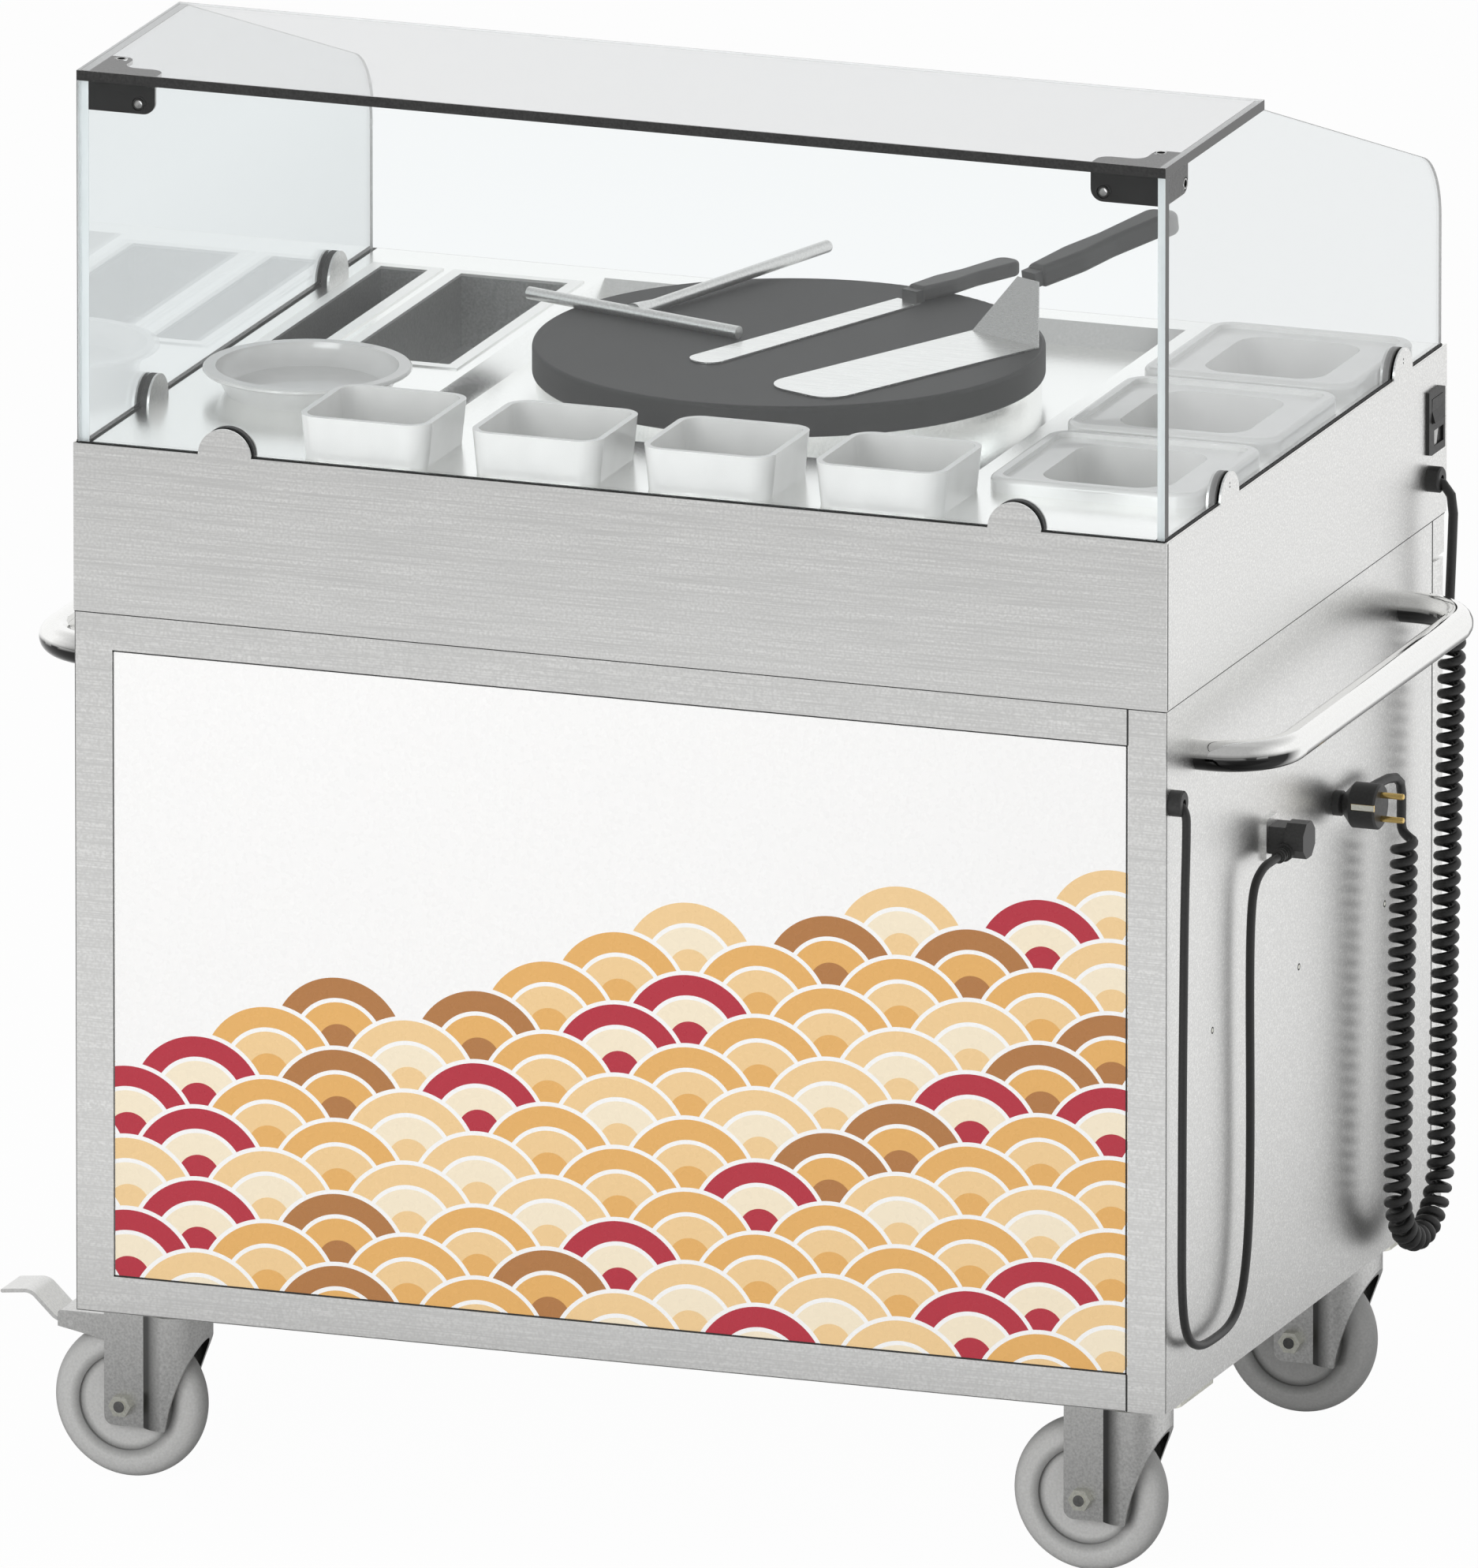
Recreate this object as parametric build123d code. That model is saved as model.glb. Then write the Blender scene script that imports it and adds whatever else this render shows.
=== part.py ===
from build123d import *
import math
import os

os.makedirs("parts", exist_ok=True)

# Driving sizes of the body, in millimetres: X right, Y back, Z up, floor at 0
BODY_W = 900.0
BODY_D = 650.0
WORKTOP_Z = 850.0
DECK_H = 134.0
CABINET_Z = 153.0
SHEET = 1.5
JOINT_STEP = 0.6

# Cabinet
STILE_W = 31.0
RAIL_H = 29.5
SEAM = 0.8
INSERT_T = 3.0
INSERT_LAP = 8.0
FOLD = 25.0
REAR_SETBACK = 30.0
SHELF_Z = 442.0
SHELF_LIP = 18.0
DOOR_T = 26.0
HEADER_H = 32.0
DOOR_GAP = 4.0
DOOR_RIM = 20.0
DOOR_EDGE_R = 12.0
PIN_R, PIN_CLEAR = 3.0, 0.05
PIN_INSET = 13.4
PULL_W, PULL_H, PULL_DEPTH = 18.0, 110.0, 8.0

# Glass hood
GLASS_T = 8.0
GLASS_SEAL, GLASS_JOINT = 1.0, 0.5
CHANNEL_DEPTH = 15.0
CLAMP_T = 2.0
PAD_T = 5.2
CHANNEL_GAP = 2.0
TAB_R = 22.0
TAB_INSET_X, TAB_FRONT, TAB_REAR = 125.0, 145.0, 102.0
HOOD_H = 290.0
TOP_GLASS_D = 227.5
SLOPE_DROP = 142.4
SLOPE_R = 60.0
REAR_CLEAR = 5.0
BRACKET_T = 3.0
BRACKET_H = 24.0
BRACKET_X, BRACKET_Y = 55.0, 50.0
BRACKET_WEB, BUSH_INSET = 20.0, 12.0
BUSH_R, BUSH_BORE_R, BUSH_HOLE_R = 4.5, 3.2, 5.2

# Worktop, tray and wells
TRAY_W, TRAY_D, TRAY_REAR, TRAY_DEPTH, TRAY_SLOPE = 476.0, 465.0, 28.0, 17.0, 11.5
WELL_FRONT, WELL_REAR, WELL_DEPTH = 325.0, 57.0, 58.0
WELL_WALL, WELL_FLANGE, WELL_CLEAR = 1.2, 10.0, 0.4
NARROW_WELL_EDGE, NARROW_WELL_W, WELL_GAP, WELL_TO_TRAY = 36.0, 39.0, 28.0, 20.0

# Griddle
PLATE_R, PLATE_T, PLATE_REAR, PLATE_EDGE_R = 200.0, 25.0, 233.0, 3.0
BASE_R, BASE_H, BASE_WALL, BASE_LIP = 197.0, 18.5, 2.0, 12.0
HEATER_R, HEATER_IN_R, HEATER_T = 160.0, 60.0, 8.0

# Pans
PAN_W, PAN_D, PAN_RIM_H, PAN_RIM_R = 168.0, 163.0, 11.5, 20.0
PAN_COUNT, PAN_PITCH, PAN_REAR = 3, 177.0, 110.0
PAN_EDGE = 102.8
PAN_RIDGE, PAN_RIDGE_FLAT, PAN_SINK = 9.5, 0.8, 4.0
PAN_CAVITY_W, PAN_CAVITY_D, PAN_CAVITY_R, PAN_DEPTH = 100.0, 114.0, 22.0, 65.0
PAN_WALL, PAN_TAPER = 4.0, 7.0
PAN_CUT = 6.0

# Ramekins and dish
RAMEKIN_W, RAMEKIN_H, RAMEKIN_TAPER, RAMEKIN_WALL, RAMEKIN_R = 101.0, 35.5, 5.6, 4.5, 15.0
RAMEKIN_TAB_GAP, RAMEKIN_PAN_GAP, RAMEKIN_COUNT = 35.5, 5.2, 4
RAMEKIN_SETBACK = 67.0
DISH_LEFT, DISH_FRONT, DISH_R, DISH_H, DISH_RIM = 115.2, 214.4, 81.5, 21.0, 10.0
DISH_FOOT_R, DISH_FOOT_W, DISH_FOOT_H = 64.0, 6.0, 1.5
DISH_FLOOR, DISH_LIP, DISH_EDGE, DISH_BULGE = 3.5, 3.6, 1.0, 4.5

# Tools on the griddle, placed from the middle of its plate
SPREADER_R, SPREADER_BAR, SPREADER_BAR_ANGLE = 5.0, 205.0, -17.0
SPREADER_X, SPREADER_Y, SPREADER_LEAN = -138.0, 26.0, 1.0
SPREADER_HANDLE, SPREADER_HANDLE_ANGLE, SPREADER_NECK = 245.0, 71.5, 26.0
KNIFE_X, KNIFE_Y, KNIFE_ANGLE = -45.0, -86.0, 68.5
KNIFE_BLADE, KNIFE_W, KNIFE_HANDLE, KNIFE_HANDLE_W, KNIFE_HANDLE_H = 250.0, 30.0, 115.0, 24.0, 12.0
BOLSTER_L, BOLSTER_W, BOLSTER_LAP = 10.0, 15.0, 2.0
BLADE_T = 1.2
BLADE_LIFT, GRIP_LIFT, TURNER_CLEAR = 0.5, 0.3, 0.4
GRIP_NOSE_R, GRIP_WAIST_R = 2.0, 40.0
TURNER_X, TURNER_Y, TURNER_ANGLE = 157.0, 62.0, 64.9
TURNER_BLADE, TURNER_W, TURNER_SKEW = 234.0, 73.0, 4.0
TURNER_LEFT_R, TURNER_RIGHT_R = 24.0, 22.0
TURNER_RISE, TURNER_RUN, TURNER_NECK_W = 44.0, 25.5, 23.0
TURNER_HANDLE, TURNER_HANDLE_W, TURNER_HANDLE_H, TURNER_LIFT = 143.0, 26.0, 18.0, 20.0

# Push handles
HANDLE_R, HANDLE_REACH, HANDLE_DROP = 12.5, 60.0, 52.0
HANDLE_FRONT, HANDLE_REAR, HANDLE_BEND_R = 75.0, 101.0, 50.0

# Casters
WHEEL_R, WHEEL_W, TYRE_ROOT_R, HUB_R, WHEEL_BORE_R = 62.5, 32.0, 39.0, 15.0, 5.05
HUB_CLEAR, WEB_INSET, WEB_DISH = 0.5, 5.0, 2.0
CASTER_INSET_X, CASTER_INSET_Y = 53.0, 81.6
TRAIL = 36.6
FORK_T, FORK_IN, NECK_R = 3.0, 18.5, 29.0
FORK_Z0, FORK_Z1, FORK_BACK, FORK_LIP, FORK_BEND_R = 45.0, 137.0, 52.0, 16.0, 8.0
RACE_GAP = 0.3
CASTER_PLATE_T, CASTER_PLATE_X, CASTER_PLATE_Y, CASTER_PLATE_R = 5.0, 100.0, 88.0, 8.0
RACE_R, KING_R, KING_HEAD_R, KING_HEAD_T = 27.0, 6.0, 10.0, 4.0
AXLE_R, AXLE_CLEAR, AXLE_END, NUT_AF, NUT_T = 5.0, 0.02, 1.0, 16.0, 8.0
BRAKE_X, BRAKE_Z1, BRAKE_LIP = -90.5, 134.0, 13.0
BRAKE_FOOT, BRAKE_EAR, BRAKE_EAR_W, BRAKE_BEND_R = 18.0, 7.0, 2.0, 3.0
PEDAL_PIN_X, PEDAL_PIN_Z, PEDAL_PIN_R, PEDAL_HUB_R = -80.0, 124.5, 2.2, 4.2
PEDAL_W, PEDAL_T, PEDAL_TIP_X, PEDAL_TIP_Z, PEDAL_BEND_R = 41.0, 3.0, -137.0, 144.5, 12.0
PEDAL_STEP, PEDAL_CREST, PEDAL_CREST_RISE, PEDAL_CLEAR = 2.0, 23.0, 2.5, 0.5
CAM_REACH, CAM_ANGLE = 6.0, 73.0

# Power fittings
SWITCH_REAR, SWITCH_W, SWITCH_Z0, SWITCH_Z1, SWITCH_PROUD = 10.8, 37.6, 54.8, 106.8, 2.6
SWITCH_CUT_Y, SWITCH_CUT_Z = 12.0, 3.2
SWITCH_BODY_IN, SWITCH_BODY_DEPTH = 4.0, 20.0
ROCKER_Z, ROCKER_W, ROCKER_H, ROCKER_T, ROCKER_TILT, ROCKER_SINK = 90.0, 24.0, 19.0, 5.0, 7.0, 2.0
ROCKER_CLEAR, ROCKER_EDGE, ROCKER_DIP = 0.6, 1.0, 0.4
ROCKER_PIN_R, ROCKER_PIN_OUT = 1.5, 0.4
LAMP_Z, LAMP_W, LAMP_H, LAMP_DEPTH, LAMP_EDGE = 67.5, 22.0, 12.5, 2.2, 4.0
GLAND_R, GLAND_SHANK_R, GLAND_LIP = 10.3, 7.5, 3.0
DECK_GLAND_Z, DECK_GLAND_L = 36.0, 11.0
CABINET_GLAND_FRONT, CABINET_GLAND_DROP, CABINET_GLAND_L = 13.0, 75.6, 10.8
GLAND_BEVEL, SLOT_START = 1.2, 4.0
CORD_CLEAR = 0.15

# Leads
CURLY_R = 3.7
APPLIANCE_R = 3.5
LEAD_OUT, LEAD_TURN_R, LEAD_START = 12.5, 7.0, 1.0
DECK_LEAD_TURN_R, CREST_DROP, CREST_REACH, LEAD_DROP = 9.0, 1.0, 30.0, 30.0
COIL_R = 7.3
COIL_PITCH = 11.7
COIL_STEP_R = 8.0
COIL_OUT = 25.8
COIL_TOP_REAR, COIL_TOP_Z = 56.8, 640.0
COIL_END_REAR, COIL_END_Z = 168.8, 495.0
COIL_TURN_REAR, COIL_TURN_Z, COIL_TURN_R = 132.0, 216.5, 50.5
TAIL_SIDE = (-0.342, 0.94)

# Plug, connector and inlet
PLUG_REAR, PLUG_Z, PLUG_R, PLUG_FACE, PLUG_FLANGE_R, PLUG_FLANGE_T = 257.4, 545.0, 18.0, 38.0, 10.0, 6.0
PLUG_BEVEL, PLUG_NECK = 1.5, 2.0
PLUG_EXIT_X, PLUG_EXIT_Z, PLUG_EXIT_L, PLUG_EXIT_R = 12.6, 547.0, 20.0, 6.0
PLUG_PIN_R, PLUG_PIN_L, PLUG_PIN_IN, PLUG_PIN_PITCH = 2.4, 19.0, 10.0, 19.0
EARTH_L, EARTH_H, EARTH_T, EARTH_Z, EARTH_SUNK = 19.0, 5.0, 2.5, 2.5, 0.8
CONNECTOR_FRONT, CONNECTOR_Z, CONNECTOR_W, CONNECTOR_H, CONNECTOR_CUT = 239.0, 556.7, 28.0, 28.0, 8.0
CONNECTOR_OUT, CONNECTOR_NECK, CONNECTOR_NECK_OUT, INLET_T = 33.0, 22.0, 17.0, 3.5
INLET_RIM_Y, INLET_RIM_Z, INLET_R = 4.0, 6.0, 5.0
RELIEF_OUT, RELIEF_Z, RELIEF_R, RELIEF_L, RELIEF_COLLAR, RELIEF_CORE = 17.6, 549.0, 5.6, 30.0, 1.6, 1.2
RIBBED_L, RIB_COUNT, RIB_PITCH, RIB_W, RIB_START = 14.0, 3, 4.2, 2.2, 2.0

# Values worked out from the driving sizes
HALF_W = BODY_W / 2
HALF_D = BODY_D / 2
DECK_Z = WORKTOP_Z - DECK_H
SIDE_X = HALF_W - JOINT_STEP
FRONT_Y = -HALF_D + JOINT_STEP
REAR_Y = HALF_D - REAR_SETBACK
SKIN_X = HALF_W - SHEET
SKIN_Y = HALF_D - SHEET
GLASS_X = SKIN_X - GLASS_SEAL
GLASS_Y = -SKIN_Y + GLASS_SEAL
WORKTOP_X = GLASS_X - GLASS_T - CHANNEL_GAP
WORKTOP_Y = GLASS_Y + GLASS_T + CHANNEL_GAP
LEDGE_Z = WORKTOP_Z - CHANNEL_DEPTH
TOP_GLASS_Z = WORKTOP_Z + HOOD_H
TRAY_Z = WORKTOP_Z - TRAY_DEPTH
PLATE_Z = TRAY_Z + BASE_H
TOOL_Z = PLATE_Z + PLATE_T
HEADER_Z = DECK_Z - HEADER_H
FLOOR_Z = CABINET_Z + 2 * SHEET
FRONT_TAB_X = HALF_W - TAB_INSET_X
SIDE_TAB_YS = (-HALF_D + TAB_FRONT, HALF_D - TAB_REAR)
TRAY_Y1 = HALF_D - TRAY_REAR
TRAY_Y0 = TRAY_Y1 - TRAY_D
PLATE_Y = TRAY_Y1 - PLATE_REAR
WELL_Y0 = -HALF_D + WELL_FRONT
WELL_Y1 = HALF_D - WELL_REAR
NARROW_WELL = (-HALF_W + NARROW_WELL_EDGE, -HALF_W + NARROW_WELL_EDGE + NARROW_WELL_W)
WIDE_WELL = (NARROW_WELL[1] + WELL_GAP, -TRAY_W / 2 - WELL_TO_TRAY)
PAN_X = HALF_W - PAN_EDGE
PAN_YS = [HALF_D - PAN_REAR - PAN_PITCH * step for step in reversed(range(PAN_COUNT))]
RAMEKIN_X0 = -FRONT_TAB_X + TAB_R + RAMEKIN_TAB_GAP + RAMEKIN_W / 2
RAMEKIN_X1 = PAN_X - PAN_W / 2 - RAMEKIN_PAN_GAP - RAMEKIN_W / 2
DISH_X = -HALF_W + DISH_LEFT
DISH_Y = -HALF_D + DISH_FRONT
HANDLE_Z = DECK_Z - HANDLE_DROP
HANDLE_Y0 = -HALF_D + HANDLE_FRONT
HANDLE_Y1 = HALF_D - HANDLE_REAR
SWITCH_Y1 = HALF_D - SWITCH_REAR
SWITCH_Y0 = SWITCH_Y1 - SWITCH_W
DECK_GLAND_AT = DECK_Z + DECK_GLAND_Z
CABINET_GLAND_Y = -HALF_D + CABINET_GLAND_FRONT
CABINET_GLAND_Z = DECK_Z - CABINET_GLAND_DROP
COIL_X = SIDE_X + COIL_OUT
COIL_TOP_Y = HALF_D - COIL_TOP_REAR
COIL_END_Y = HALF_D - COIL_END_REAR
COIL_TURN_Y = HALF_D - COIL_TURN_REAR
PLUG_Y = HALF_D - PLUG_REAR
PLUG_EXIT_Y = PLUG_Y + PLUG_EXIT_L
CONNECTOR_Y = -HALF_D + CONNECTOR_FRONT
RELIEF_Y = CONNECTOR_Y - RELIEF_L


def block(x0, x1, y0, y1, z0, z1):
    return Pos((x0 + x1) / 2, (y0 + y1) / 2, (z0 + z1) / 2) * Box(x1 - x0, y1 - y0, z1 - z0)


def rod(start, end, radius):
    line = Vector(*end) - Vector(*start)
    return Part() + Solid.make_cylinder(radius, line.length, Plane(Vector(*start), z_dir=line))


def rod_x(radius, x0, x1, y, z):
    return rod((x0, y, z), (x1, y, z), radius)


def rod_y(radius, x, y0, y1, z):
    return rod((x, y0, z), (x, y1, z), radius)


def rod_z(radius, x, y, z0, z1):
    return rod((x, y, z0), (x, y, z1), radius)


def outline(points, radii):
    return make_face(FilletPolyline(*points, radius=radii, close=True))


def rounded_prism(width, depth, radius, x, y, z, height, taper=0.0):
    """A rounded rectangle raised from z, or sunk where height is negative."""
    face = Pos(x, y, z) * RectangleRounded(width, depth, radius)
    return extrude(face, amount=abs(height), dir=(0, 0, math.copysign(1, height)), taper=taper)


def mirrored(shape):
    return mirror(shape, about=Plane.YZ)


def save(node, *pieces):
    solids = [solid for piece in pieces for solid in piece.solids()]
    shape = solids[0] if len(solids) == 1 else Compound(children=solids)
    shape.label = node
    export_step(shape, "parts/" + node + ".step")


# Cabinet


def side_panel(front_y, front_w):
    """Right-hand folded panel: web with front, rear, top and bottom folds."""
    panel = block(SIDE_X - SHEET, SIDE_X, front_y, REAR_Y, CABINET_Z, DECK_Z)
    panel += block(SIDE_X - front_w, SIDE_X, front_y, front_y + SHEET, CABINET_Z, DECK_Z)
    panel += block(SIDE_X - FOLD, SIDE_X, REAR_Y - SHEET, REAR_Y, CABINET_Z, DECK_Z)
    panel += block(SIDE_X - FOLD, SIDE_X, front_y, REAR_Y, DECK_Z - SHEET, DECK_Z)
    panel += block(SIDE_X - FOLD, SIDE_X, front_y, REAR_Y, CABINET_Z, CABINET_Z + SHEET)
    return panel


def front_frame():
    right = SIDE_X - STILE_W - SEAM
    frame = block(-SIDE_X, right, FRONT_Y, FRONT_Y + SHEET, CABINET_Z, DECK_Z)
    opening_z = (CABINET_Z + RAIL_H, DECK_Z - RAIL_H)
    frame -= block(-SIDE_X + STILE_W, right, FRONT_Y, FRONT_Y + SHEET, *opening_z)
    left = -SIDE_X + FOLD + SEAM
    for z in (CABINET_Z, DECK_Z - SHEET):
        frame += block(left, right, FRONT_Y, FRONT_Y + FOLD, z, z + SHEET)
    return frame


def front_insert():
    half = SIDE_X - STILE_W + INSERT_LAP
    z0 = CABINET_Z + RAIL_H - INSERT_LAP
    z1 = DECK_Z - RAIL_H + INSERT_LAP
    return block(-half, half, FRONT_Y + SHEET, FRONT_Y + SHEET + INSERT_T, z0, z1)


def cabinet_floor():
    inside = SIDE_X - SHEET
    z0 = CABINET_Z + SHEET
    floor = block(-inside, inside, FRONT_Y + 2 * SHEET, REAR_Y - SHEET, z0, FLOOR_Z)
    floor += block(-SIDE_X + FOLD, SIDE_X - FOLD, FRONT_Y + 2 * SHEET, REAR_Y + SHEET, z0, FLOOR_Z)
    floor += block(-SIDE_X, SIDE_X, REAR_Y, REAR_Y + DOOR_T, z0, FLOOR_Z)
    for x in (-SIDE_X + PIN_INSET, SIDE_X - PIN_INSET):
        floor -= rod_z(PIN_R + PIN_CLEAR, x, REAR_Y + DOOR_T / 2, z0, FLOOR_Z)
    return floor


def mid_shelf():
    inside = SIDE_X - SHEET
    y0 = FRONT_Y + SHEET + INSERT_T + SEAM
    y1 = REAR_Y - SHEET - SEAM
    shelf = block(-inside, inside, y0, y1, SHELF_Z - SHELF_LIP, SHELF_Z)
    shelf -= block(-inside + SHEET, inside - SHEET, y0 + SHEET, y1 - SHEET, SHELF_Z - SHELF_LIP, SHELF_Z - SHEET)
    return shelf


def rear_header():
    header = block(-SIDE_X, SIDE_X, REAR_Y, REAR_Y + DOOR_T, HEADER_Z, DECK_Z)
    inner = block(-SIDE_X + SHEET, SIDE_X - SHEET, REAR_Y, REAR_Y + DOOR_T - SHEET, HEADER_Z + SHEET, DECK_Z - SHEET)
    header -= inner
    for x in (-SIDE_X + PIN_INSET, SIDE_X - PIN_INSET):
        header -= rod_z(PIN_R + PIN_CLEAR, x, REAR_Y + DOOR_T / 2, HEADER_Z, HEADER_Z + SHEET)
    return header


def right_door():
    """Right rear door: hollow pan with pivot pins at its outer end and a finger pull."""
    x0, x1 = DOOR_GAP / 2, SIDE_X - SEAM
    y0, y1 = REAR_Y + SEAM, REAR_Y + DOOR_T
    z0, z1 = FLOOR_Z + DOOR_GAP, HEADER_Z - DOOR_GAP
    corners = [(x0, y0), (x1, y0), (x1, y1), (x0, y1)]
    door = Pos(0, 0, z0) * extrude(outline(corners, [0, DOOR_EDGE_R, 0, 0]), amount=z1 - z0)
    door -= block(x0 + DOOR_RIM, x1 - DOOR_RIM, y0, y1 - SHEET, z0 + DOOR_RIM, z1 - DOOR_RIM)
    pull_x = x0 + DOOR_RIM + PULL_W / 2 + SHEET
    pull_z = (z0 + z1) / 2
    cup = Pos(pull_x, y1, pull_z) * Rot(90, 0, 0) * SlotOverall(PULL_H, PULL_W + 2 * SHEET, rotation=90)
    hollow = Pos(pull_x, y1, pull_z) * Rot(90, 0, 0) * SlotOverall(PULL_H - 2 * SHEET, PULL_W, rotation=90)
    door += extrude(cup, amount=PULL_DEPTH + SHEET)
    door -= extrude(hollow, amount=PULL_DEPTH)
    pin = (SIDE_X - PIN_INSET, REAR_Y + DOOR_T / 2)
    door += rod_z(PIN_R, *pin, CABINET_Z + SHEET, z0)
    door += rod_z(PIN_R, *pin, z1, HEADER_Z + SHEET)
    return door


# Deck and worktop


def deck_shell():
    shell = block(-HALF_W, HALF_W, -HALF_D, HALF_D, DECK_Z, WORKTOP_Z)
    shell -= block(-SKIN_X, SKIN_X, -SKIN_Y, SKIN_Y, DECK_Z + SHEET, WORKTOP_Z)
    for x in (-FRONT_TAB_X, FRONT_TAB_X):
        shell += rod_y(TAB_R, x, -HALF_D, -SKIN_Y, WORKTOP_Z)
    for y in SIDE_TAB_YS:
        shell += rod_x(TAB_R, -HALF_W, -SKIN_X, y, WORKTOP_Z)
        shell += rod_x(TAB_R, SKIN_X, HALF_W, y, WORKTOP_Z)
    shell -= rod_x(GLAND_SHANK_R, SKIN_X, HALF_W, GLAND_Y, DECK_GLAND_AT)
    shell -= switch_body(SKIN_X, HALF_W)
    return shell


def worktop():
    top = block(-WORKTOP_X, WORKTOP_X, WORKTOP_Y, SKIN_Y, WORKTOP_Z - SHEET, WORKTOP_Z)
    for side in (-1, 1):
        x0, x1 = sorted((side * (WORKTOP_X - SHEET), side * WORKTOP_X))
        top += block(x0, x1, WORKTOP_Y, SKIN_Y, LEDGE_Z - SHEET, WORKTOP_Z)
        x0, x1 = sorted((side * (WORKTOP_X - SHEET), side * SKIN_X))
        top += block(x0, x1, -SKIN_Y, SKIN_Y, LEDGE_Z - SHEET, LEDGE_Z)
    top += block(-WORKTOP_X, WORKTOP_X, WORKTOP_Y, WORKTOP_Y + SHEET, LEDGE_Z - SHEET, WORKTOP_Z)
    top += block(-SKIN_X, SKIN_X, -SKIN_Y, WORKTOP_Y + SHEET, LEDGE_Z - SHEET, LEDGE_Z)
    middle = (TRAY_Y0 + TRAY_Y1) / 2
    depth = TRAY_Y1 - TRAY_Y0
    slope = math.degrees(math.atan(TRAY_SLOPE / TRAY_DEPTH))
    skin = Pos(0, middle, WORKTOP_Z - SHEET) * Rectangle(TRAY_W + SHEET, depth + SHEET)
    hollow = Pos(0, middle, WORKTOP_Z) * Rectangle(TRAY_W, depth)
    top += extrude(skin, amount=TRAY_DEPTH, dir=(0, 0, -1), taper=slope)
    top -= extrude(hollow, amount=TRAY_DEPTH, dir=(0, 0, -1), taper=slope)
    for left, right in (NARROW_WELL, WIDE_WELL):
        top -= well_body(left, right, WELL_WALL + WELL_CLEAR, SHEET)
    for y in PAN_YS:
        width = PAN_CAVITY_W + 2 * PAN_WALL + 2 * PAN_CUT
        cut_depth = PAN_CAVITY_D + 2 * PAN_WALL + 2 * PAN_CUT
        top -= rounded_prism(width, cut_depth, PAN_CAVITY_R + PAN_CUT, PAN_X, y, WORKTOP_Z, -SHEET)
    return top


def well_body(left, right, grow, depth):
    return block(left - grow, right + grow, WELL_Y0 - grow, WELL_Y1 + grow, WORKTOP_Z - depth, WORKTOP_Z)


def well(left, right):
    body = well_body(left, right, WELL_WALL, WELL_DEPTH + WELL_WALL)
    flange = well_body(left, right, WELL_FLANGE, WELL_WALL)
    body += Pos(0, 0, WELL_WALL) * flange
    hollow = well_body(left, right, 0, WELL_DEPTH)
    body -= hollow + Pos(0, 0, WELL_WALL) * hollow
    return body


def half_discs(start, end):
    """Half discs on the worktop beside each tab, from start to end inwards of the glass."""
    discs = []
    below = block(-HALF_W, HALF_W, -HALF_D, HALF_D, WORKTOP_Z - TAB_R, WORKTOP_Z)
    front_y = GLASS_Y + GLASS_T
    for x in (-FRONT_TAB_X, FRONT_TAB_X):
        discs.append(rod_y(TAB_R, x, front_y + start, front_y + end, WORKTOP_Z) - below)
    side_x = GLASS_X - GLASS_T
    for y in SIDE_TAB_YS:
        right = rod_x(TAB_R, side_x - end, side_x - start, y, WORKTOP_Z) - below
        discs += [right, mirrored(right)]
    return discs


# Glass hood


def bush_places():
    """Places of the right bracket's bushes: front pane, side pane and top pane."""
    z = TOP_GLASS_Z - BRACKET_H / 2 - BRACKET_T
    inner_x = GLASS_X - GLASS_T
    inner_y = GLASS_Y + GLASS_T
    front = (inner_x - BRACKET_X + BUSH_INSET, inner_y, z)
    side = (inner_x, inner_y + BRACKET_Y - BUSH_INSET, z)
    top = (inner_x - BUSH_INSET, inner_y + BRACKET_Y - BUSH_INSET, TOP_GLASS_Z)
    return front, side, top


def front_glass():
    pane = block(-GLASS_X, GLASS_X, GLASS_Y, GLASS_Y + GLASS_T, LEDGE_Z, TOP_GLASS_Z)
    x, _, z = bush_places()[0]
    for side in (-1, 1):
        pane -= rod_y(BUSH_HOLE_R, side * x, GLASS_Y, GLASS_Y + GLASS_T, z)
    return pane


def right_glass():
    """Side pane: level top, long slope to the back, rounded into the rear edge."""
    y0 = GLASS_Y + GLASS_T + GLASS_JOINT
    y1 = SKIN_Y - REAR_CLEAR
    level_y = GLASS_Y + TOP_GLASS_D
    low_z = TOP_GLASS_Z - SLOPE_DROP
    corners = [(y0, LEDGE_Z), (y1, LEDGE_Z), (y1, low_z), (level_y, TOP_GLASS_Z), (y0, TOP_GLASS_Z)]
    face = outline(corners, [0, REAR_CLEAR, SLOPE_R, 0, 0])
    pane = Plane.YZ.offset(GLASS_X - GLASS_T) * extrude(face, amount=GLASS_T)
    _, y, z = bush_places()[1]
    return pane - rod_x(BUSH_HOLE_R, GLASS_X - GLASS_T, GLASS_X, y, z)


def top_glass():
    pane = block(-GLASS_X, GLASS_X, GLASS_Y, GLASS_Y + TOP_GLASS_D, TOP_GLASS_Z, TOP_GLASS_Z + GLASS_T)
    x, y, _ = bush_places()[2]
    for side in (-1, 1):
        pane -= rod_z(BUSH_HOLE_R, side * x, y, TOP_GLASS_Z, TOP_GLASS_Z + GLASS_T)
    return pane


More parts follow.
